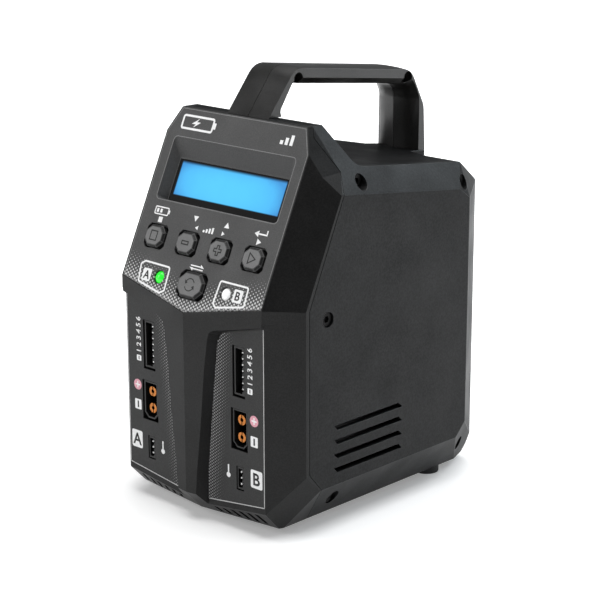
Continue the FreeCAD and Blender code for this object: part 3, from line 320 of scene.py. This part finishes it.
def label_look():
    """The dark port labels, with dots that grow towards their inner edge."""
    look = Look("label_film")
    apart = look.node("ShaderNodeSeparateXYZ")
    look.feed(look.spot, apart.inputs[0])
    across = look.math("MULTIPLY", apart.outputs["X"], 1 / MM)
    up = look.math("MULTIPLY", apart.outputs["Z"], 1 / MM)
    fine = look.noise(0.0005, 4.0)
    body = look.ramp(fine, [(FINE_SPAN[0], grey(0.018)), (FINE_SPAN[1], grey(0.026))])
    inner_edge = look.math("ADD", look.math("MULTIPLY", up, LABEL_EDGE_LEAN), LABEL_EDGE_FOOT)
    inset = look.math("SUBTRACT", look.math("ABSOLUTE", across), inner_edge)
    radius = look.remap(inset, 0.0, 10.0, 0.44, 0.0)
    mask = look.dots(across, up, 1.8, 1.3, radius)
    look.feed(look.mix(mask, body, grey(0.36)), look.shader.inputs["Base Color"])
    gloss = look.remap(look.noise(0.015), *SLOW_SPAN, 0.34, 0.46)
    look.feed(gloss, look.shader.inputs["Roughness"])
    look.shader.inputs["Specular IOR Level"].default_value = CASE_GLOSS
    look.bump(fine, 0.00001, 0.4)
    return look.material


# The display's lit field on the panel in millimetres, and the middle and half size of its glow.
# The lit field's left end is set in from the window: the dark band there is partly the display's unlit
# border and partly painted shade of the recess wall.
LIT_X = (-29.2, 30.5)
LIT_U = (37.2, 52.0)
GLOW_MIDDLE_U = 43.5
GLOW_HALF_X = 31.0
GLOW_HALF_U = 9.5
GLOW_COLOURS = [(0.0, (0.105, 0.66, 1.05)), (0.5, (0.09, 0.56, 1.04)), (1.0, (0.06, 0.34, 0.78))]


def window_look():
    """A dark window with a lit blue field behind it that is softer at its rim."""
    look = Look("display_window")
    across, up = look.panel_spot()
    # The lit field's top fades over a longer span: painted shadow of the recess's upper wall on the
    # display.
    fades = [look.remap(across, LIT_X[0], LIT_X[0] + 0.8, 0, 1, True),
             look.remap(across, LIT_X[1], LIT_X[1] - 0.8, 0, 1, True),
             look.remap(up, LIT_U[0], LIT_U[0] + 0.6, 0, 1, True),
             look.remap(up, LIT_U[1], LIT_U[1] - 1.6, 0, 1, True)]
    mask = fades[0]
    for fade in fades[1:]:
        mask = look.math("MULTIPLY", mask, fade)
    out_x = look.math("ABSOLUTE", look.math("DIVIDE", across, GLOW_HALF_X))
    raised = look.math("SUBTRACT", up, GLOW_MIDDLE_U)
    out_u = look.math("ABSOLUTE", look.math("DIVIDE", raised, GLOW_HALF_U))
    rim = look.math("ADD", look.math("POWER", out_x, 3.0), look.math("POWER", out_u, 3.0))
    cloudy = look.math("ADD", rim, look.remap(look.noise(0.006), *SLOW_SPAN, -0.05, 0.05))
    glow = look.ramp(cloudy, GLOW_COLOURS)
    look.feed(look.mix(mask, grey(0.001), grey(0.003)), look.shader.inputs["Base Color"])
    look.feed(glow, look.shader.inputs["Emission Color"])
    look.feed(look.math("MULTIPLY", mask, 0.95), look.shader.inputs["Emission Strength"])
    gloss = look.remap(look.noise(0.02), *SLOW_SPAN, 0.16, 0.24)
    look.feed(gloss, look.shader.inputs["Roughness"])
    look.shader.inputs["Specular IOR Level"].default_value = 0.03
    return look.material


def lamp_look(name, dark, light, glow, power):
    """A lens that is lit from inside."""
    look = grained(name, dark, light, (0.12, 0.2), 0.001, 0.00001)
    look.shader.inputs["Emission Color"].default_value = (*glow, 1)
    look.shader.inputs["Emission Strength"].default_value = power
    return look.material


panel = panel_look()
label = label_look()
SLOT_LOOKS = {
    "case_plastic": case_side,
    "handle_plastic": handle_look,
    "panel_plastic": panel,
    "key_plastic": key_look,
    "label_film": label,
    "connector_plastic": plastic("connector_nylon", grey(0.003), grey(0.006), (0.3, 0.45), 0.0004,
                                 0.00001, 0.35),
    "gold_contact": plastic("gold_contact", (0.32, 0.11, 0.028), (0.5, 0.19, 0.05), (0.2, 0.34),
                            0.0005, 0.00001, metallic=1.0),
    "tinned_pin": plastic("tinned_pin", grey(0.6), grey(0.75), (0.4, 0.55), 0.0004, 0.00001,
                          metallic=0.6),
    "black_screw": plastic("black_screw", grey(0.002), grey(0.006), (0.4, 0.55), 0.0004, 0.00001,
                           0.15),
    "rubber": plastic("rubber", grey(0.006), grey(0.012), (0.65, 0.8), 0.0005, 0.00004),
    "display_window": window_look(),
    "display_glass": plastic("display_glass", (0.03, 0.2, 0.6), (0.04, 0.3, 0.8), (0.1, 0.2),
                             0.002, 0.00001),
    "display_frame": plastic("display_frame", grey(0.3), grey(0.4), (0.3, 0.45), 0.0005, 0.00001,
                             metallic=1.0, stretch=(0.1, 1, 1)),
    "green_lens": lamp_look("green_lens", (0.02, 0.5, 0.03), (0.03, 0.65, 0.04),
                            (0.02, 0.9, 0.03), 0.65),
    "white_lens": lamp_look("white_lens", grey(0.75), grey(0.85), (1, 1, 1), 0.22),
    "circuit_board": plastic("circuit_board", (0.006, 0.06, 0.02), (0.02, 0.15, 0.05),
                             (0.3, 0.45), 0.0015, 0.00003),
    "ferrite": plastic("ferrite", grey(0.03), grey(0.06), (0.6, 0.75), 0.0006, 0.00004),
    "capacitor_sleeve": plastic("capacitor_sleeve", (0.005, 0.01, 0.03), (0.01, 0.02, 0.05),
                                (0.35, 0.5), 0.001, 0.00001, 0.2),
    "transistor_case": plastic("transistor_case", grey(0.008), grey(0.014), (0.4, 0.55), 0.0005,
                               0.00002),
    "heatsink_aluminium": plastic("heatsink_black", grey(0.008), grey(0.02), (0.4, 0.55), 0.0005,
                                  0.00001, stretch=(1, 0.05, 1)),
    "brass_pillar": plastic("brass_pillar", (0.55, 0.38, 0.14), (0.7, 0.5, 0.2), (0.25, 0.4),
                            0.0005, 0.00001, metallic=1.0, stretch=(1, 1, 0.1)),
    "fan_plastic": plastic("fan_plastic", grey(0.006), grey(0.012), (0.4, 0.55), 0.0006, 0.00002),
}
for name, slot in SLOTS.items():
    mesh = NODES[name].data
    mesh.materials.clear()
    mesh.materials.append(SLOT_LOOKS[slot])

# The moving bodies whose nodes get a rounded copy. All other rounded copies ride on the case.
BODY_OF = {"stop_button": "stop_key", "minus_button": "minus_key", "plus_button": "plus_key",
           "start_button": "start_key", "channel_button": "channel_key"}


# ---- rounded copies of CAD shells ----------------------------------------------------------
PANEL_OUT = Vector((0, -math.cos(math.radians(PANEL_TILT)), math.sin(math.radians(PANEL_TILT))))
POCKETS_HALF_X = 0.024
POCKETS_FRONT_Y = -0.058
POCKETS_Z = (0.009, 0.092)
VENTS_LEAST_X = 0.047
VENTS_Y = (-0.037, 0.008)
VENTS_Z = (0.023, 0.046)


def key_flank(face):
    """The sloping and upright faces around a key's top."""
    # The darker look on these faces is painted shade.
    return face.normal.dot(PANEL_OUT) < 0.9


def pocket_wall(face):
    """The steep walls of the two port pockets, next to the prow."""
    # The darker look on these walls is painted shade; they face away from the light.
    x, y, z = face.center
    inside = abs(x) < POCKETS_HALF_X and y < POCKETS_FRONT_Y and POCKETS_Z[0] < z < POCKETS_Z[1]
    return inside and abs(face.normal.x) > 0.4


def vent_wall(face):
    """The inner faces of the side vents."""
    # The darker look on these faces is painted shade inside the vents.
    x, y, z = face.center
    inside = abs(x) > VENTS_LEAST_X and VENTS_Y[0] < y < VENTS_Y[1] and VENTS_Z[0] < z < VENTS_Z[1]
    return inside and abs(face.normal.x) < 0.6


def rounded(node, width, look=None, edge=None, limit=20, dark=None, crease=12, merge=1.0):
    """A copy of a CAD node's form with softened edges, which stands for the node.

    Faces within merge degrees of each other become one first. The bevel is width metres wide, on
    edges sharper than limit degrees, and has the edge material if one is given, a lighter look that
    paints highlights on the edges. Faces for which dark(face) is true get a darker look that paints
    shade on them, and edges sharper than crease degrees stay sharp in the shading.
    """
    mesh = NODES[node].data.copy()
    form = bmesh.new()
    form.from_mesh(mesh)
    bmesh.ops.remove_doubles(form, verts=form.verts, dist=1e-6)
    bmesh.ops.dissolve_limit(form, angle_limit=math.radians(merge), verts=form.verts, edges=form.edges)
    form.to_mesh(mesh)
    form.free()
    if look:
        mesh.materials.clear()
        mesh.materials.append(look)
    piece = bpy.data.objects.new(node + "_rounded", mesh)
    bpy.context.scene.collection.objects.link(piece)
    bevel = piece.modifiers.new("edges", "BEVEL")
    bevel.width = width
    bevel.segments = 2
    bevel.limit_method = "ANGLE"
    bevel.angle_limit = math.radians(limit)
    # The bevel's faces take the edge look, a painted highlight along the edges.
    if edge:
        mesh.materials.append(edge)
        bevel.material = 1
    # Faces picked by dark get the darker look: painted shade on walls turned from the light.
    if dark:
        mesh.materials.append(painted_shade_look)
        for face in mesh.polygons:
            if dark(face):
                face.material_index = 2
    for face in mesh.polygons:
        face.use_smooth = True
    mesh.set_sharp_from_angle(angle=math.radians(crease))
    even = piece.modifiers.new("even_shading", "WEIGHTED_NORMAL")
    even.weight = 100
    even.keep_sharp = True
    bpy.context.view_layer.update()
    evaluated = piece.evaluated_get(bpy.context.evaluated_depsgraph_get())
    made = bpy.data.meshes.new_from_object(evaluated)
    piece.modifiers.clear()
    piece.data = made
    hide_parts(node)
    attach(piece, BODY_OF.get(node, "case"))


rounded("front_cover", 0.0005, case_front, case_edge_highlight, dark=pocket_wall, crease=7)
for name in ("right_side_cover", "left_side_cover"):
    rounded(name, 0.0005, case_side, case_edge_highlight, dark=vent_wall)
for name in ("rear_panel", "base_plate"):
    rounded(name, 0.0005, case_side, case_edge_highlight)
rounded("top_cover", 0.0005, case_roof, case_edge_highlight)
for name in ("handle_right_half", "handle_left_half"):
    rounded(name, 0.0006, handle_look, handle_edge_highlight, limit=35, crease=25, merge=0.02)
rounded("panel_face", 0.0003, panel)
for name in ("stop_button", "minus_button", "plus_button", "start_button", "channel_button"):
    rounded(name, 0.0002, key_look, key_edge_highlight, dark=key_flank)
for name in ("rubber_feet", "balance_header_a", "balance_header_b", "output_socket_a",
             "output_socket_b", "temperature_header_a", "temperature_header_b", "ac_inlet",
             "dc_input", "fan_frame", "fan_guard"):
    rounded(name, 0.00015)


# ---- flat prints, icons and lines ----------------------------------------------------------
def soft_corners(points, radius, steps=5):
    """A closed outline with its corners rounded."""
    path = []
    for index, point in enumerate(points):
        here = Vector(point)
        back = (Vector(points[index - 1]) - here).normalized()
        ahead = (Vector(points[(index + 1) % len(points)]) - here).normalized()
        half = back.angle(ahead) / 2
        centre = here + (back + ahead).normalized() * (radius / math.sin(half))
        start = here + back * (radius / math.tan(half)) - centre
        end = here + ahead * (radius / math.tan(half)) - centre
        for step in range(steps + 1):
            path.append(tuple(centre + start.slerp(end, step / steps).normalized() * radius))
    return path


def oblong(x, y, wide, tall, radius=0.0):
    """A rectangle around a centre, with rounded corners if a radius is given."""
    points = [(x - wide / 2, y - tall / 2), (x + wide / 2, y - tall / 2),
              (x + wide / 2, y + tall / 2), (x - wide / 2, y + tall / 2)]
    return soft_corners(points, radius) if radius else points


def disc(x, y, radius, steps=32):
    """A round outline around a centre."""
    angles = [2 * math.pi * k / steps for k in range(steps)]
    return [(x + radius * math.cos(a), y + radius * math.sin(a)) for a in angles]


def arc(x, y, radius, start, end, steps=14):
    """Points along part of a circle, with angles in degrees."""
    angles = [math.radians(start + (end - start) * k / steps) for k in range(steps + 1)]
    return [(x + radius * math.cos(a), y + radius * math.sin(a)) for a in angles]


def fill(form, points, place, low, high):
    """A flat solid with this outline, between two heights above its plane."""
    rings = [[form.verts.new(place @ Vector((x * MM, y * MM, level * MM))) for x, y in points]
             for level in (low, high)]
    form.faces.new(rings[1])
    form.faces.new(rings[0][::-1])
    for k in range(len(points)):
        after = (k + 1) % len(points)
        form.faces.new((rings[0][k], rings[0][after], rings[1][after], rings[1][k]))


def stroke(form, points, width, closed, place, low, high):
    """A flat line of even width along a path, mitred at its corners."""
    count = len(points)
    rows = []
    for k, point in enumerate(points):
        here = Vector(point)
        before = Vector(points[k - 1]) if closed or k else here
        after = Vector(points[(k + 1) % count]) if closed or k < count - 1 else here
        came, goes = here - before, after - here
        first = came.normalized() if came.length > 1e-9 else goes.normalized()
        second = goes.normalized() if goes.length > 1e-9 else first
        run = (first + second).normalized()
        side = Vector((-run.y, run.x)) * (width / 2 / max(run.dot(first), 0.35))
        row = []
        for edge in (here + side, here - side):
            for level in (low, high):
                spot = place @ Vector((edge.x * MM, edge.y * MM, level * MM))
                row.append(form.verts.new(spot))
        rows.append(row)
    spans = count if closed else count - 1
    for k in range(spans):
        a, b = rows[k], rows[(k + 1) % count]
        for corner, following in ((0, 1), (1, 3), (3, 2), (2, 0)):
            form.faces.new((a[corner], b[corner], b[following], a[following]))
    if not closed:
        start, end = rows[0], rows[-1]
        form.faces.new((start[0], start[1], start[3], start[2]))
        form.faces.new((end[0], end[2], end[3], end[1]))


INK = (0.005, 0.04)         # ink on its plane, from lower to upper face
OVER_INK = (0.045, 0.07)    # ink on top of other ink


def piece_from(form, name, look, body="case"):
    """A piece of the scene made from a bmesh, riding on a body."""
    bmesh.ops.recalc_face_normals(form, faces=form.faces)
    mesh = bpy.data.meshes.new(name)
    form.to_mesh(mesh)
    form.free()
    mesh.materials.append(look)
    piece = bpy.data.objects.new(name, mesh)
    bpy.context.scene.collection.objects.link(piece)
    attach(piece, body)


def printed(name, place, look, slot, fills=(), lines=(), width=0.5, body="case", levels=INK):
    """One print: filled outlines and (points, closed) lines on a plane."""
    form = bmesh.new()
    for points in fills:
        fill(form, points, place, *levels)
    for points, closed in lines:
        stroke(form, points, width, closed, place, *levels)
    piece_from(form, name, look, body)


def character(name, text, x, y, tall, place, look, quarter_turns=0, levels=INK):
    """One generic letter or digit, centred at a point, from the plain built-in typeface.

    tall is its height before it is turned.
    """
    curve = bpy.data.curves.new(name, "FONT")
    curve.body = text
    curve.resolution_u = 4
    curve.offset = 0.02
    holder = bpy.data.objects.new(name + "_outline", curve)
    bpy.context.scene.collection.objects.link(holder)
    bpy.context.view_layer.update()
    evaluated = holder.evaluated_get(bpy.context.evaluated_depsgraph_get())
    mesh = bpy.data.meshes.new_from_object(evaluated)
    bpy.data.objects.remove(holder)
    xs = [vertex.co.x for vertex in mesh.vertices]
    ys = [vertex.co.y for vertex in mesh.vertices]
    middle = Vector(((min(xs) + max(xs)) / 2, (min(ys) + max(ys)) / 2, 0))
    scale = tall / (max(ys) - min(ys))
    spin = Matrix.Rotation(math.radians(90 * quarter_turns), 4, "Z")
    form = bmesh.new()
    form.from_mesh(mesh)
    bmesh.ops.remove_doubles(form, verts=form.verts, dist=1e-5)
    flat = list(form.faces)
    for vertex in form.verts:
        at = spin @ ((vertex.co - middle) * scale)
        vertex.co = Vector((at.x + x, at.y + y, levels[0]))
    grown = bmesh.ops.extrude_face_region(form, geom=flat)
    for item in grown["geom"]:
        if isinstance(item, bmesh.types.BMVert):
            item.co.z = levels[1]
    for vertex in form.verts:
        vertex.co = place @ (vertex.co * MM)
    piece_from(form, name, look)


def panel_print(name, **shapes):
    """A white print on the control panel."""
    printed(name, ON_PANEL, print_white, "panel_plastic", **shapes)


# panel: light frames and letter tiles
A_FRAME = [(-28.9, 8.0), (-14.5, 7.7), (-13.9, -1.9), (-16.3, -3.2), (-29.7, -0.6), (-31.0, 6.6)]
B_FRAME = [(14.8, 7.6), (30.1, 7.5), (30.5, -0.2), (16.0, -3.1), (14.2, -1.6)]
frames = [(soft_corners(A_FRAME, 0.9), True), (soft_corners(B_FRAME, 0.9), True)]
panel_print("light_frames", lines=frames, width=0.75)
for letter, x, u in (("A", -26.1, 2.7), ("B", 25.8, 3.3)):
    panel_print("panel_tile_" + letter, fills=[oblong(x, u, 4.9, 5.2, 0.6)])
    character("panel_letter_" + letter, letter, x, u, 3.5, ON_PANEL, print_dark,
              levels=OVER_INK)

# panel: small signs above the keys, in an upper and a lower row
SIGN_U = 29.3
LOW_SIGN_U = 25.7
battery = [(oblong(-28.6, SIGN_U, 7.6, 3.0, 0.4), True)]
battery_tip = oblong(-24.3, SIGN_U, 0.8, 1.5)
cells = [oblong(x, SIGN_U, 1.2, 1.6) for x in (-30.9, -28.9)]
panel_print("sign_battery", fills=[battery_tip] + cells, lines=battery, width=0.5)
stop_sign = oblong(-28.0, LOW_SIGN_U, 2.3, 2.3, 0.2)
start_sign = [(27.0, LOW_SIGN_U - 1.3), (29.4, LOW_SIGN_U), (27.0, LOW_SIGN_U + 1.3)]
down_sign = [(-9.9, SIGN_U + 1.0), (-8.5, SIGN_U - 1.3), (-7.1, SIGN_U + 1.0)]
up_sign = [(7.8, SIGN_U - 1.1), (10.6, SIGN_U - 1.1), (9.2, SIGN_U + 1.2)]
left_sign = [(-6.0, LOW_SIGN_U - 0.9), (-6.0, LOW_SIGN_U + 0.9), (-7.6, LOW_SIGN_U)]
right_sign = [(7.6, LOW_SIGN_U - 0.9), (9.2, LOW_SIGN_U), (7.6, LOW_SIGN_U + 0.9)]
LEVEL_BARS = ((-2.4, 0.9), (-0.8, 1.5), (0.8, 2.0), (2.4, 2.5))    # (x, height)
level_bars = [oblong(x, LOW_SIGN_U - 1.1 + tall / 2, 1.0, tall) for x, tall in LEVEL_BARS]
panel_print("signs_keys", fills=[stop_sign, start_sign, down_sign, up_sign, left_sign,
                                 right_sign] + level_bars)
enter_hook = [(31.2, SIGN_U + 1.5), (31.2, SIGN_U - 0.4), (26.6, SIGN_U - 0.4)]
enter_head = [(26.8, SIGN_U - 1.7), (26.8, SIGN_U + 0.9), (24.6, SIGN_U - 0.4)]
panel_print("sign_enter", fills=[enter_head], lines=[(enter_hook, False)], width=0.6)
SWAP_U = 10.2
swap_lines = [([(-3.6, SWAP_U + 0.6), (2.2, SWAP_U + 0.6)], False),
              ([(-2.2, SWAP_U - 0.6), (3.6, SWAP_U - 0.6)], False)]
swap_heads = [[(2.0, SWAP_U + 0.2), (4.0, SWAP_U + 0.2), (2.0, SWAP_U + 1.6)],
              [(-2.0, SWAP_U - 0.2), (-4.0, SWAP_U - 0.2), (-2.0, SWAP_U - 1.6)]]
panel_print("sign_swap", fills=swap_heads, lines=swap_lines, width=0.5)

# panel: a plain battery sign in the upper left corner and three bars in the upper right one
MARK_U = 67.2
mark = [(oblong(-23.6, MARK_U, 17.5, 5.4, 0.8), True)]
mark_tip = oblong(-13.9, MARK_U, 1.4, 2.6)
bolt = [(-23.2, MARK_U + 2.0), (-27.0, MARK_U - 0.5), (-24.7, MARK_U - 0.5),
        (-25.8, MARK_U - 2.0), (-22.0, MARK_U + 0.5), (-24.3, MARK_U + 0.5)]
panel_print("sign_charge", fills=[mark_tip, bolt], lines=mark, width=0.9)
bars = []
for k in range(3):
    tall = 1.6 + 1.3 * k
    bars.append(oblong(24.0 + 2.6 * k, MARK_U - 2.2 + tall / 2, 1.6, tall))
panel_print("sign_level", fills=bars)

# panel: fine light lines just inside its border and around the display recess, painted highlights of
# these edges
BORDER = [(0, -7.6), (39.1, 0.6), (39.2, 62.4), (34.4, 72.6), (-34.4, 72.6), (-39.2, 62.4),
          (-39.1, 0.6)]
RECESS_RIM = oblong(0, 47.35, 68.8, 26.9, 2.0)
printed("panel_rim_highlights", ON_PANEL, rim_highlight_grey, "panel_plastic",
        lines=[(BORDER, True), (RECESS_RIM, True)], width=0.3)

# keys: thin dark signs on the caps
KEY_TOP = 1.4
KEY_INK = (KEY_TOP + 0.005, KEY_TOP + 0.03)
KEY_U = 18.7


def plus_outline(x, y, arm, half):
    """A plus sign with arms of this length and half width."""
    return [(x - half, y - arm), (x + half, y - arm), (x + half, y - half), (x + arm, y - half),
            (x + arm, y + half), (x + half, y + half), (x + half, y + arm), (x - half, y + arm),
            (x - half, y + half), (x - arm, y + half), (x - arm, y - half), (x - half, y - half)]


key_signs = {
    "stop_key": oblong(-27.6, KEY_U, 3.6, 3.8),
    "minus_key": oblong(-9.2, KEY_U, 3.6, 1.3),
    "plus_key": plus_outline(9.4, KEY_U, 2.0, 0.6),
    "start_key": [(26.7, KEY_U - 2.1), (30.2, KEY_U), (26.7, KEY_U + 2.1)],
}
for body, outline in key_signs.items():
    printed("mark_" + body, ON_PANEL, print_dark, "key_plastic", lines=[(outline, True)],
            width=0.5, body=body, levels=KEY_INK)

# channel key: two arrows that follow each other round a circle
CHANNEL = (0.2, 2.9)
CIRCLE = 2.5
ARROW_START, ARROW_NECK, ARROW_TIP = 25, 150, 180    # degrees along the circle
shafts = []
heads = []
for half_turn in (0, 180):
    neck = half_turn + ARROW_NECK
    shafts.append((arc(*CHANNEL, CIRCLE, half_turn + ARROW_START, neck), False))
    tip = arc(*CHANNEL, CIRCLE, neck, half_turn + ARROW_TIP, 1)[1]
    inner = arc(*CHANNEL, CIRCLE - 1, neck, neck, 1)[0]
    outer = arc(*CHANNEL, CIRCLE + 1, neck, neck, 1)[0]
    heads.append([inner, outer, tip])
printed("mark_channel_key", ON_PANEL, print_dark, "key_plastic", fills=heads, lines=shafts,
        width=0.4, body="channel_key", levels=KEY_INK)

# port labels: x counts outwards from the middle of the front, except for the digits' column
DIGIT_Z, DIGIT_STEP = 64.1, 2.75
DIGIT_X = {"a": -32.7, "b": 31.8}
MINUS_Z = 61.0
SIGN_X = 33.9
PLUS_SIGN_Z = 49.2
MINUS_SIGN_Z = 40.6
LETTER_X, LETTER_Z = 35.0, 25.1
THERMOMETER_X = 19.3
OUTER_X = 39.3


def label_print(name, look, **shapes):
    """A print on a port label."""
    printed(name, ON_LABEL, look, "label_film", **shapes)


for letter, side in (("a", -1), ("b", 1)):
    for digit in range(1, 7):
        character("digit_%s_%d" % (letter, digit), str(digit), DIGIT_X[letter],
                  DIGIT_Z + (digit - 1) * DIGIT_STEP, 2.7, ON_LABEL, print_white, 1)
    tiles = [oblong(DIGIT_X[letter], MINUS_Z, 2.7, 2.4, 0.4),
             oblong(side * SIGN_X, MINUS_SIGN_Z, 3.9, 4.4, 0.4),
             oblong(side * LETTER_X, LETTER_Z, 6.4, 7.6, 0.8)]
    stem = oblong(side * THERMOMETER_X, 25.9, 0.7, 3.6, 0.2)
    bulb = disc(side * THERMOMETER_X, 23.3, 1.1)
    label_print("label_tiles_" + letter, print_white, fills=tiles + [stem, bulb])
    # Thin light lines along each label's outer and lower edge: painted highlight of the front cover's
    # lit edge.
    label_print("label_edge_highlight_" + letter, edge_highlight_line, fills=[oblong(side * OUTER_X, 51.0, 0.35, 73.0)])
    foot = [(side * 7.9, 10.1), (side * OUTER_X, 14.2)]
    label_print("label_foot_highlight_" + letter, edge_highlight_line, lines=[(foot, False)], width=0.35)
    label_print("label_disc_" + letter, print_pink, fills=[disc(side * SIGN_X, PLUS_SIGN_Z, 2.3)])
    label_print("label_plus_" + letter, print_white, levels=OVER_INK,
                fills=[plus_outline(side * SIGN_X, PLUS_SIGN_Z, 1.4, 0.3)])
    label_print("label_minus_" + letter, print_dark, levels=OVER_INK,
                fills=[oblong(side * SIGN_X, MINUS_SIGN_Z, 0.8, 2.9),
                       oblong(DIGIT_X[letter], MINUS_Z, 0.5, 1.5)])
    character("label_letter_" + letter, letter.upper(), side * LETTER_X, LETTER_Z, 5.2, ON_LABEL,
              print_dark, levels=OVER_INK)

# ---- floor ---------------------------------------------------------------------------------
# White paper that glows more and more away from the object, up to the white of the backdrop.
FLOOR_HALF = 6.0
FADE_DISTANCE = (0.2, 1.4)
FADE_GLOW = (0.26, 1.0)
paper = grained("floor_paper", grey(0.86), grey(0.9), (0.75, 0.85), 0.002, 0.00001, 0.2)
away = paper.node("ShaderNodeVectorMath", operation="LENGTH")
paper.feed(paper.spot, away.inputs[0])
paper.shader.inputs["Emission Color"].default_value = (1, 1, 1, 1)
glow = paper.remap(away.outputs["Value"], *FADE_DISTANCE, *FADE_GLOW)
paper.feed(glow, paper.shader.inputs["Emission Strength"])
form = bmesh.new()
corners = [(x * FLOOR_HALF, y * FLOOR_HALF, 0) for x, y in ((-1, -1), (1, -1), (1, 1), (-1, 1))]
form.faces.new([form.verts.new(corner) for corner in corners])
floor_mesh = bpy.data.meshes.new("floor")
form.to_mesh(floor_mesh)
form.free()
floor_mesh.materials.append(paper.material)
floor = bpy.data.objects.new("floor", floor_mesh)
bpy.context.scene.collection.objects.link(floor)
